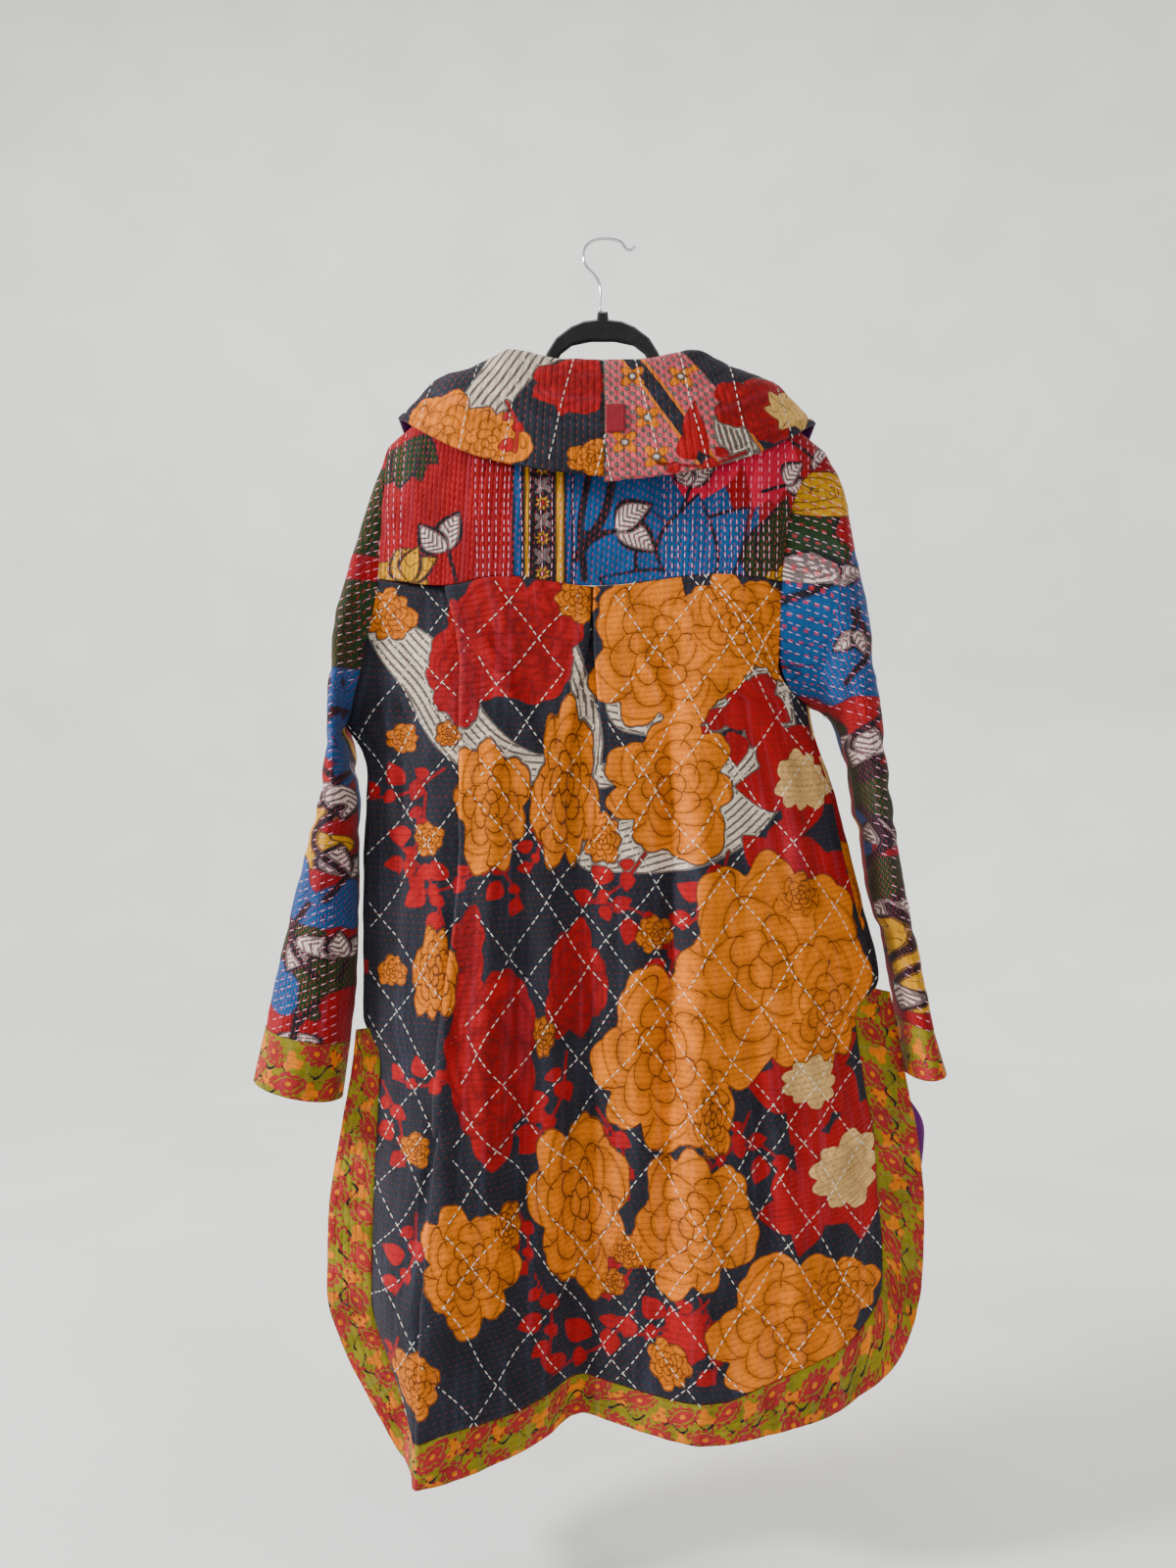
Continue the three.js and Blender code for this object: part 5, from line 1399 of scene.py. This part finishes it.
def print_cloth(name, tones, thread, rows="across", spacing=6.0, dash=6.0, thread_share=0.6):
    """Printed cotton: each tone is (colour, half width of its drawn lines, line colour)."""
    s = Shader(name)
    votes = []
    for layer in ("tones_a", "tones_b", "tones_c"):
        votes += s.parts(s.attribute(layer))
    line = votes[TONES]
    across, down, _ = s.parts(s.attribute("cloth"))
    ragged = s.noise(s.scaled(across, down), 0.55, 3.0, 0.6)
    wander = s.math("MULTIPLY", s.math("SUBTRACT", ragged, 0.5), PRINT_WANDER)
    colour, width, line_colour = tones[0]
    best, second = votes[0], -FAR
    for vote, (tone, tone_width, tone_line) in zip(votes[1:TONES], tones[1:]):
        lead = s.math("ADD", s.math("SUBTRACT", vote, best), wander)
        share = s.ramp(lead, -EDGE_SOFTNESS, EDGE_SOFTNESS)
        colour = s.colours(share, colour, tone)
        width = s.numbers(share, width, tone_width)
        line_colour = s.colours(share, line_colour, tone_line)
        second = s.math("MAXIMUM", second, s.math("MINIMUM", best, vote))
        best = s.math("MAXIMUM", best, vote)
    stripes = s.math("ABSOLUTE", s.math("ADD", line, s.math("MULTIPLY", wander, 0.7)))
    rim = s.math("MULTIPLY", s.math("SUBTRACT", best, second), 0.5)
    rim = s.math("ABSOLUTE", s.math("SUBTRACT", rim, 0.5))
    petals = petal_lines(s, wander)
    distance = s.math("MINIMUM", s.math("MINIMUM", stripes, rim), petals)
    over = s.math("SUBTRACT", distance, width)
    drawn = s.ramp(over, 0.25, -0.25)
    colour = s.colours(s.math("MULTIPLY", drawn, 0.85), colour, line_colour)
    dots = s.add("TexVoronoi", [("Vector", s.scaled(across, down)), ("Scale", 0.34)])
    dotted = s.math("MULTIPLY", s.ramp(dots, 0.22, 0.15, 0, 0.55), s.ramp(ragged, 0.4, 0.5))
    colour = s.colours(dotted, colour, rgb(0.20, 0.07, 0.05))
    stitch, channel = running_rows(
        s, *((across, down) if rows == "across" else (down, across)), spacing, dash
    )
    colour = s.colours(s.math("MULTIPLY", stitch, thread_share), colour, thread)
    height, slub = weave_height(s, across, down)
    fade = s.noise(s.scaled(s.math("MULTIPLY", across, 0.05), s.math("MULTIPLY", down, 0.012)), 1.0)
    blotch = s.noise(s.scaled(across, down), 0.02, 4.0)
    tone = s.math("ADD", s.ramp(fade, 0.3, 0.7, 0.82, 1.1), s.ramp(blotch, 0.3, 0.7, -0.1, 0.1))
    tone = s.math("ADD", tone, s.ramp(slub, 0.2, 0.8, -0.10, 0.10))
    # Painted shade: the colour is darkened by up to a tenth in the sunken channel along each stitched
    # row
    tone = s.math("SUBTRACT", tone, s.math("MULTIPLY", channel, 0.10))
    tone = s.math("MULTIPLY", tone, s.ramp(s.math("MINIMUM", petals, 7.0), 0.0, 7.0, 0.74, 1.05))
    streak = s.noise(s.scaled(across, s.math("MULTIPLY", down, 0.04)), 0.14, 2.0)
    colour = s.colours(s.ramp(streak, 0.50, 0.68, 0, 0.30), colour, SLATE, "SCREEN")
    shaded = s.add("VectorMath", [(0, colour), (3, tone)], operation="SCALE")
    pucker = s.noise(s.scaled(across, down), 0.16, 2.0)
    height = s.math("ADD", s.math("MULTIPLY", height, 0.25), s.math("MULTIPLY", pucker, 1.6))
    height = s.math("SUBTRACT", height, s.math("MULTIPLY", channel, 0.55))
    return s.finish(
        shaded, s.ramp(slub, 0.2, 0.8, 0.95, 0.8), height, 0.7, 0.0011,
        Sheen_Weight=0.03, Sheen_Roughness=0.5, Specular_IOR_Level=0.16,
    )


def plain_cloth(name, colour, light=1.15):
    """Plain woven cotton in one dyed colour."""
    s = Shader(name)
    across, down, _ = s.parts(s.attribute("cloth"))
    height, slub = weave_height(s, across, down)
    blotch = s.noise(s.scaled(across, down), 0.03, 4.0)
    tone = s.math("ADD", s.ramp(slub, 0.2, 0.8, 0.85, light), s.ramp(blotch, 0.3, 0.7, -0.12, 0.12))
    shaded = s.add("VectorMath", [(0, colour), (3, tone)], operation="SCALE")
    pucker = s.noise(s.scaled(across, down), 0.12, 2.0)
    height = s.math("ADD", s.math("MULTIPLY", height, 0.25), s.math("MULTIPLY", pucker, 1.2))
    return s.finish(
        shaded, 0.85, height, 0.6, 0.001,
        Sheen_Weight=0.2, Sheen_Roughness=0.4, Specular_IOR_Level=0.25,
    )


def thread_material(name, colour):
    """Twisted embroidery cotton."""
    s = Shader(name)
    place = s.add("TexCoord", out=3)
    twist = s.noise(place, 1500.0, 1.0)
    fuzz = s.noise(place, 90.0, 2.0)
    tone = s.math("ADD", s.ramp(twist, 0.3, 0.7, 0.85, 1.05), s.ramp(fuzz, 0.3, 0.7, -0.12, 0.05))
    shaded = s.add("VectorMath", [(0, colour), (3, tone)], operation="SCALE")
    return s.finish(shaded, 0.7, twist, 0.5, 0.0003, Sheen_Weight=0.2)


def flock_material():
    """Black flocking: short dense fibres over plastic, with lint and worn corners."""
    s = Shader("hanger_flock")
    place = s.add("TexCoord", out=3)
    fibres = s.noise(place, 2600.0, 2.0)
    worn = s.noise(place, 28.0, 5.0, 0.65)
    colour = s.colours(s.ramp(worn, 0.45, 0.75), rgb(0.055, 0.055, 0.06), rgb(0.11, 0.11, 0.115))
    colour = s.colours(s.ramp(fibres, 0.7, 0.76, 0, 0.35), colour, rgb(0.35, 0.34, 0.33))
    return s.finish(
        colour, s.ramp(worn, 0.3, 0.7, 0.95, 0.8), fibres, 0.55, 0.0004,
        Sheen_Weight=0.45, Sheen_Roughness=0.45, Specular_IOR_Level=0.2,
    )


def chrome_material():
    """Polished plated wire with fine drawing lines and faint smudges."""
    s = Shader("hook_chrome")
    place = s.add("TexCoord", out=3)
    smudge = s.noise(place, 60.0, 4.0)
    lines = s.noise(place, 900.0, 2.0)
    colour = s.colours(s.ramp(smudge, 0.4, 0.7), rgb(0.86, 0.87, 0.88), rgb(0.74, 0.75, 0.76))
    return s.finish(
        colour, s.ramp(smudge, 0.35, 0.7, 0.10, 0.26), lines, 0.08, 0.0002, Metallic=1.0,
    )


SLATE = rgb(0.13, 0.18, 0.25)
RED = rgb(0.60, 0.04, 0.07)
GOLD = rgb(0.83, 0.44, 0.0)
NAVY = rgb(0.115, 0.13, 0.165)
CREAM = rgb(0.82, 0.75, 0.67)
INK = rgb(0.10, 0.09, 0.11)
BROWN = rgb(0.25, 0.11, 0.03)
DARK_RED = rgb(0.42, 0.07, 0.10)
OLIVE = rgb(0.49, 0.45, 0.09)
ROSE = rgb(0.60, 0.13, 0.15)
BLUE = rgb(0.04, 0.27, 0.47)
GREEN = rgb(0.11, 0.19, 0.08)
YELLOW = rgb(0.76, 0.55, 0.02)
PINK = rgb(0.74, 0.06, 0.20)
NO_LINE = -1.0

# The tones of each print stand in the order of its table of tones above
MATERIALS = {
    "body": print_cloth(
        "body_cloth",
        [
            (NAVY, NO_LINE, NAVY), (RED, 0.35, DARK_RED), (GOLD, 0.5, BROWN), (CREAM, 1.0, NAVY),
            (rgb(0.86, 0.68, 0.42), 0, BROWN),
        ],
        rgb(0.50, 0.15, 0.12), thread_share=0.32,
    ),
    "panelled": print_cloth(
        "yoke_and_sleeve_cloth",
        [
            # The red ground is partly the cloth's own red and partly painted shade: it is set darker for
            # the collar's shadow on the yoke, and the sleeves share it
            (rgb(0.53, 0.03, 0.06), 0.4, DARK_RED), (BLUE, 0.45, rgb(0.06, 0.16, 0.30)),
            (YELLOW, 0.7, INK), (rgb(0.86, 0.76, 0.74), 1.0, INK), (GREEN, 0.4, INK),
            (INK, NO_LINE, INK), (PINK, 0, RED),
        ],
        rgb(0.75, 0.14, 0.22), rows="down", spacing=5.0, dash=7.0,
    ),
    "border": print_cloth(
        "border_cloth",
        [
            (OLIVE, NO_LINE, OLIVE), (ROSE, 0, INK), (GOLD, 0, INK), (INK, 0, INK),
        ],
        rgb(0.45, 0.42, 0.10), spacing=7.0, dash=5.0, thread_share=0.3,
    ),
    "collar": print_cloth(
        "collar_cloth",
        [
            (rgb(0.80, 0.73, 0.65), 1.3, NAVY), (RED, 0.4, DARK_RED), (GOLD, 0.5, BROWN),
            (NAVY, NO_LINE, NAVY), (rgb(0.80, 0.30, 0.36), 0, RED), (rgb(0.80, 0.42, 0.10), 0, INK),
            (rgb(0.84, 0.66, 0.36), 0.5, BROWN),
        ],
        rgb(0.62, 0.20, 0.14), thread_share=0.35,
    ),
    "lining": plain_cloth("lining_cloth", rgb(0.36, 0.05, 0.38)),
    "tab": plain_cloth("tab_cloth", rgb(0.50, 0.08, 0.14)),
    "white_thread": thread_material("white_thread", rgb(0.93, 0.91, 0.86)),
    "pink_thread": thread_material("pink_thread", rgb(0.95, 0.66, 0.78)),
    "flock": flock_material(),
    "chrome": chrome_material(),
}


# Stitches sewn as separate dashes that lie on the cloth

class Skin:
    """Finds the cloth's outer surface under a place across and down, on its back or front."""

    def __init__(self, surface, thickness, side):
        points = surface.points + surface.facing * thickness / 2
        towards = surface.facing[..., 1] * side > 0.25
        self.points, self.facing = points[towards], surface.facing[towards]
        self.tree = kdtree.KDTree(len(self.points))
        for k, p in enumerate(self.points):
            self.tree.insert((p[0], p[2], 0), k)
        self.tree.balance()

    def under(self, x, down, reach=3.2):
        _, k, gap = self.tree.find((x, -down, 0))
        if gap > reach:
            return None
        p, n = self.points[k], self.facing[k]
        depth = p[1] - (n[0] * (x - p[0]) + n[2] * (-down - p[2])) / n[1]
        return np.array((x, depth, -down)), n


def dash_mesh(skins, lines, dash, gap, radius):
    """Vertices and faces of running stitches along lines; each is a low bump, fat in the middle."""
    vertices, faces = [], []
    sides, profile = 5, ((0.0, 0.35), (0.3, 1.0), (0.7, 1.0), (1.0, 0.35))
    for skin, line in [(skin, line) for skin in skins for line in lines]:
        steps = np.linalg.norm(np.diff(line, axis=0), axis=1)
        places = np.concatenate([[0], np.cumsum(steps)])
        count = int(places[-1] / (dash + gap))
        for k in range(count):
            start = k * (dash + gap) + 0.8 * math.sin(k * 2.4)
            spots = []
            for share, _ in profile:
                at_place = start + share * dash
                x = np.interp(at_place, places, line[:, 0])
                down = np.interp(at_place, places, line[:, 1])
                spots.append(skin.under(x, down))
            if any(spot is None for spot in spots):
                continue
            run = unit(spots[-1][0] - spots[0][0])
            if np.linalg.norm(spots[-1][0] - spots[0][0]) > dash * 1.8:
                continue
            first = len(vertices)
            for (share, fat), (point, facing) in zip(profile, spots):
                side = unit(np.cross(run, facing))
                for turn in range(sides):
                    angle = 2 * math.pi * turn / sides
                    vertices.append(
                        point + side * radius * fat * math.cos(angle)
                        + facing * radius * (0.75 * fat * math.sin(angle) + 0.25)
                    )
            for ring in range(len(profile) - 1):
                for turn in range(sides):
                    a = first + ring * sides + turn
                    b = first + ring * sides + (turn + 1) % sides
                    faces.append((a, b, b + sides, a + sides))
            last = first + (len(profile) - 1) * sides
            faces.append(tuple(range(first, first + sides))[::-1])
            faces.append(tuple(range(last, last + sides)))
    return vertices, faces


def wavy(x0, d0, x1, d1, sway, step=9.0):
    """A hand-sewn line between two places, as points a step apart."""
    length = math.hypot(x1 - x0, d1 - d0)
    count = max(2, int(length / step))
    share = np.linspace(0, 1, count + 1)
    bend = sway * np.sin(share * length / 38.0 + x0) + sway * 0.5 * np.sin(share * length / 15.0)
    c, s = (x1 - x0) / length, (d1 - d0) / length
    return np.stack([mix(x0, x1, share) - s * bend, mix(d0, d1, share) + c * bend], axis=1)


def diamonds(low, high, top, bottom, spacing, lean):
    """Two sets of slanting lines over an area, a little unevenly apart."""
    run = (bottom - top) / lean
    pitch = spacing * math.sqrt(1 + lean * lean) / lean
    lines = []
    start, k = low - run, 0
    while start < high + run:
        shift, turn = 9.0 * math.sin(k * 2.3), 46.0 * math.sin(k * 1.1)
        lines.append(wavy(start + shift, top, start + run - turn, bottom, 3.0))
        lines.append(wavy(start + pitch * 0.4, bottom, start + pitch * 0.4 + run + turn, top, 3.0))
        start += pitch * (1 + 0.22 * math.sin(k * 1.9))
        k += 1
    return lines


def uprights(low, high, top, bottom, spacing):
    return [
        wavy(x, top, x + 1.5 * math.sin(x), bottom, 0.7)
        for x in np.arange(low, high, spacing)
    ]


# Assembly

ROOT = "root"


def place(piece, node=None, slot=None):
    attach(piece, ROOT)
    if node:
        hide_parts(node)
    return piece


SLEEVE_SHIFT = 110.0


def pattern_places(surface, mode):
    """Millimetres across and down for the print at each point of the outer side."""
    p = surface.points
    if mode == "band":
        across = np.broadcast_to(surface.lengths(1)[None, :], p.shape[:2])
        down = np.broadcast_to(surface.lengths(0)[:, None], p.shape[:2])
        return across, down
    if mode == "collar":
        steps = np.linalg.norm(np.diff(p, axis=1), axis=2)
        from_start = np.concatenate([np.zeros((len(p), 1)), np.cumsum(steps, axis=1)], axis=1)
        up = from_start[:, -1:] - from_start
        return p[..., 0], -p[:, -1:, 2] - up
    if mode == "sleeve":
        # Round from the inner side by way of the back, and by way of the front further down
        steps = np.linalg.norm(np.roll(p, -1, axis=1) - p, axis=2)
        inner = int(np.abs(p[..., 0]).mean(axis=0).argmin())
        steps = np.roll(steps, -inner, axis=1)
        along = np.roll(np.cumsum(steps, axis=1) - steps, inner, axis=1)
        half = steps.sum(axis=1, keepdims=True) / 2
        share = np.minimum(along, 2 * half - along) / half
        past = np.maximum(half - along, 0) / half
        start = p[:, inner:inner + 1, 0]
        wide = np.abs(p[..., 0]).max(axis=1, keepdims=True) - np.abs(start)
        return start + np.sign(start) * wide * share, -p[..., 2] + SLEEVE_SHIFT * past
    return p[..., 0], -p[..., 2]


def dress(name, node, surface, thickness, painter, material, slot, mode="flat"):
    """A piece of printed cloth in place of its solid."""
    x, down = pattern_places(surface, mode)
    layers = painter(x, down).layers()
    cloth = np.zeros(surface.points.shape)
    cloth[..., 0] = surface.lengths(1)[None, :]
    cloth[..., 1] = surface.lengths(0)[:, None]
    layers["cloth"] = cloth
    materials = [MATERIALS[material], MATERIALS["lining"]]
    return place(cloth_mesh(name, surface, thickness, materials, layers), node, slot)


def sewn(name, skins, lines, material, dash=4.8, gap=2.8, radius=0.52):
    vertices, faces = dash_mesh(skins, lines, dash, gap, radius)
    return place(add_mesh(name, vertices, faces, MATERIALS[material]))


back_surface = Surface(back_grid(), CELL["back"], "back")
press_creases(back_surface, BACK_CREASES)
back_surface.push(ripple(back_surface, 62.0, 85.0, 0.5))
dress("cloth_back", "back_panel", back_surface, CLOTH, paint_back, "body", "body_print")

yoke_surface = Surface(yoke_grid(), CELL["yoke"], "back")
yoke_surface.push(ripple(yoke_surface, 48.0, 60.0, 0.4))
dress("cloth_yoke", "back_yoke", yoke_surface, CLOTH, paint_yoke, "panelled", "yoke_print")

band_surface = Surface(back_border_grid(back_grid()), CELL["back_band"], "back")
band_surface.push(ripple(band_surface, 40.0, 50.0, 0.5))
dress(
    "band_back", "back_border", band_surface, CLOTH, paint_border, "border", "border_print", "band"
)

# The groove beside the collar's sewn edge, and how far the loop swells
GROOVE = {"inset": 8.0, "width": 1.6, "depth": 1.8}
LOOP_SWELL = 0.6

fronts, sleeves, collars = {}, {}, {}
for side in ("left", "right"):
    sign = 1 if side == "left" else -1
    front = front_grid(side)
    surface = Surface(front, CELL["front"], "front")
    press_creases(surface, FRONT_CREASES, sign)
    surface.push(ripple(surface, 58.0, 80.0, 0.5))
    fronts[side] = surface
    dress(
        f"cloth_front_{side}", f"front_{side}", surface, CLOTH, paint_front(side), "body",
        "body_print",
    )
    band = Surface(front_border_grid(side, front), CELL["front_band"], "front")
    dress(
        f"band_front_{side}", f"front_{side}_border", band, CLOTH, paint_border, "border",
        "border_print", "band",
    )
    sleeve, cuff = sleeve_and_cuff(side)
    tube = Surface(sleeve, CELL["sleeve"], "tube", closed=True)
    press_creases(tube, SLEEVE_CREASES, sign)
    tube.push(ripple(tube, 40.0, 55.0, 0.5))
    sleeves[side] = tube
    dress(
        f"cloth_sleeve_{side}", f"sleeve_{side}", tube, CLOTH, paint_sleeve(side), "panelled",
        "sleeve_print", "sleeve",
    )
    wrist = Surface(cuff, CELL["cuff"], "tube", closed=True)
    dress(
        f"band_cuff_{side}", f"cuff_{side}", wrist, CLOTH, paint_border, "border", "border_print",
        "band",
    )
    collar = Surface(collar_grid(side), CELL["collar"], "collar")
    edge = collar.lengths(1)
    groove = np.exp(-(((edge[-1] - edge) - GROOVE["inset"]) / GROOVE["width"]) ** 2)
    collar.push(-GROOVE["depth"] * np.broadcast_to(groove[None, :], collar.points.shape[:2]))
    collar.push(ripple(collar, 45.0, 40.0, 0.5))
    collars[side] = collar
    dress(
        f"cloth_collar_{side}", f"collar_{side}", collar, COLLAR_CLOTH, paint_collar(side),
        "collar", "collar_print", "collar",
    )

tab_surface = Surface(tab_grid(), CELL["tab"], "back")
tab_surface.push(np.full(tab_surface.points.shape[:2], COLLAR_CLOTH / 2 + SEAM_GAP + TAB_CLOTH / 2))
swell = np.sin(np.linspace(0, 1, tab_surface.points.shape[0]) * np.pi)[:, None]
tab_surface.push(LOOP_SWELL * np.broadcast_to(swell, tab_surface.points.shape[:2]))
tab_piece = cloth_mesh(
    "loop_on_collar", tab_surface, TAB_CLOTH, [MATERIALS["tab"], MATERIALS["tab"]],
    {"cloth": np.stack(np.broadcast_arrays(
        tab_surface.lengths(1)[None, :], tab_surface.lengths(0)[:, None], 0.0
    ), axis=-1)},
)
place(tab_piece, "collar_tab", "tab_cloth")

# Hand stitching
back_skin = Skin(back_surface, CLOTH, 1)
sewn("stitches_back", [back_skin], diamonds(-290, 250, 345, 1200, 47, 1.35), "white_thread")
yoke_skin = Skin(yoke_surface, CLOTH, 1)
sewn(
    "stitches_yoke", [yoke_skin],
    uprights(95, 125, 200, 360, 7) + uprights(30, 92, 200, 360, 10)
    + uprights(-150, -52, 200, 360, 7) + uprights(-225, -150, 200, 360, 8)
    + uprights(196, 222, 200, 360, 8),
    "pink_thread", 5.2, 3.2, 0.42,
)
for side in ("left", "right"):
    sign = 1 if side == "left" else -1
    front_skin = Skin(fronts[side], CLOTH, -1)
    sewn(
        f"stitches_front_{side}", [front_skin],
        diamonds(min(0, sign * 290), max(0, sign * 290), 150, 1150, 64, 1.35), "white_thread",
    )
    tube_skins = [Skin(sleeves[side], CLOTH, face) for face in (1, -1)]
    slants = [
        wavy(sign * 170, d, sign * 350, d + 70, 0.8) for d in np.arange(190, 800, 9.0)
    ]
    sewn(f"stitches_sleeve_{side}", tube_skins, slants, "pink_thread", 5.0, 4.0, 0.40)
    collar_skins = [Skin(collars[side], COLLAR_CLOTH, face) for face in (1, -1)]
    lines = [
        wavy(sign * x, 110, sign * (x + 70), 480, 1.2) for x in np.arange(-20, 210, 46.0)
    ]
    sewn(f"stitches_collar_{side}", collar_skins, lines, "white_thread")


def hook_mesh(sides=20, steps=220):
    """The hook's round wire, closed with flat ends."""
    route = [at(x, 0, down - SEAM_GAP) for x, down in HOOK_ROUTE]
    spots = np.array([centripetal(route, k / steps) for k in range(steps + 1)])
    runs = unit(np.gradient(spots, axis=0))
    vertices, faces = [], []
    for k, (spot, run) in enumerate(zip(spots, runs)):
        side = unit(np.cross(run, (0, 1, 0)))
        for turn in range(sides):
            angle = 2 * math.pi * turn / sides
            vertices.append(
                spot + HOOK_WIRE / 2 * (side * math.cos(angle) + np.array((0, 1, 0)) * math.sin(angle))
            )
    for k in range(steps):
        for turn in range(sides):
            a, b = k * sides + turn, k * sides + (turn + 1) % sides
            faces.append((a, b, b + sides, a + sides))
    for ring in (0, steps):
        first = ring * sides
        loop = tuple(range(first, first + sides))
        faces.append(loop if ring else loop[::-1])
    return vertices, faces


place(add_mesh("hook_wire", *hook_mesh(), MATERIALS["chrome"]), "hanger_hook", "chrome")
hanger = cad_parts["hanger_body"]
hanger.data.materials.clear()
hanger.data.materials.append(MATERIALS["flock"])

# Stage, light and camera

FLOOR = -1.32
WALL_HEIGHT = 4.4
WORLD_STRENGTH = 0.36
SENSOR = 36.0
PHOTO_HEIGHT = 1600
FOCAL_LENGTH_IN_PIXELS = 1204.5
CAMERA_SPOT = (0.0148, 1.190, -0.548)


def stage_bowl(radius=3.6, corner=1.6, sides=96, steps=20):
    """A pale floor that curves up into a wall all round."""
    profile = [(0.0, FLOOR), (radius - corner, FLOOR)]
    for k in range(1, steps + 1):
        angle = math.pi / 2 * k / steps
        profile.append((
            radius - corner + corner * math.sin(angle), FLOOR + corner * (1 - math.cos(angle))
        ))
    profile.append((radius, FLOOR + WALL_HEIGHT))
    vertices, faces = [(0, 0, FLOOR / MM)], []
    for away, height in profile[1:]:
        for turn in range(sides):
            angle = 2 * math.pi * turn / sides
            vertices.append((away * math.cos(angle) / MM, away * math.sin(angle) / MM, height / MM))
    for turn in range(sides):
        faces.append((0, 1 + turn, 1 + (turn + 1) % sides))
    for ring in range(len(profile) - 2):
        for turn in range(sides):
            a, b = 1 + ring * sides + turn, 1 + ring * sides + (turn + 1) % sides
            faces.append((a, a + sides, b + sides, b))
    return vertices, faces


s = Shader("studio_floor")
grain = s.noise(s.add("TexCoord", out=3), 3.0, 3.0)
pale = s.colours(s.ramp(grain, 0.3, 0.7), rgb(0.86, 0.86, 0.85), rgb(0.89, 0.89, 0.88))
floor = add_mesh("floor", *stage_bowl(), s.finish(pale, 0.9))


def area_light(name, spot, target, size, power):
    lamp = bpy.data.lights.new(name, "AREA")
    lamp.shape, lamp.size, lamp.energy = "DISK", size, power
    thing = link(name, lamp)
    thing.location = spot
    thing.rotation_euler = (Vector(target) - Vector(spot)).to_track_quat("-Z", "Y").to_euler()


MIDDLE = (0.0, 0.0, -0.6)
area_light("key", (2.6, 0.75, 0.7), MIDDLE, 0.6, 150)
area_light("fill", (-2.2, 2.2, 0.2), MIDDLE, 2.4, 12)
area_light("front_key", (-1.6, -2.2, 1.1), MIDDLE, 1.6, 50)
area_light("wall", (0.3, -1.1, 2.0), (0.0, -3.4, 0.0), 1.6, 75)

world = bpy.data.worlds.new("studio")
world.use_nodes = True
sky = world.node_tree.nodes["Background"]
sky.inputs["Color"].default_value = (1.0, 1.0, 1.0, 1.0)
sky.inputs["Strength"].default_value = WORLD_STRENGTH
bpy.context.scene.world = world

camera = bpy.data.cameras.new("camera")
camera.sensor_width = SENSOR
camera.lens = SENSOR * FOCAL_LENGTH_IN_PIXELS / PHOTO_HEIGHT
holder = link("camera", camera)
holder.location = CAMERA_SPOT
holder.rotation_euler = (math.pi / 2, 0.0, math.pi)
bpy.context.scene.camera = holder

bpy.context.view_layer.update()
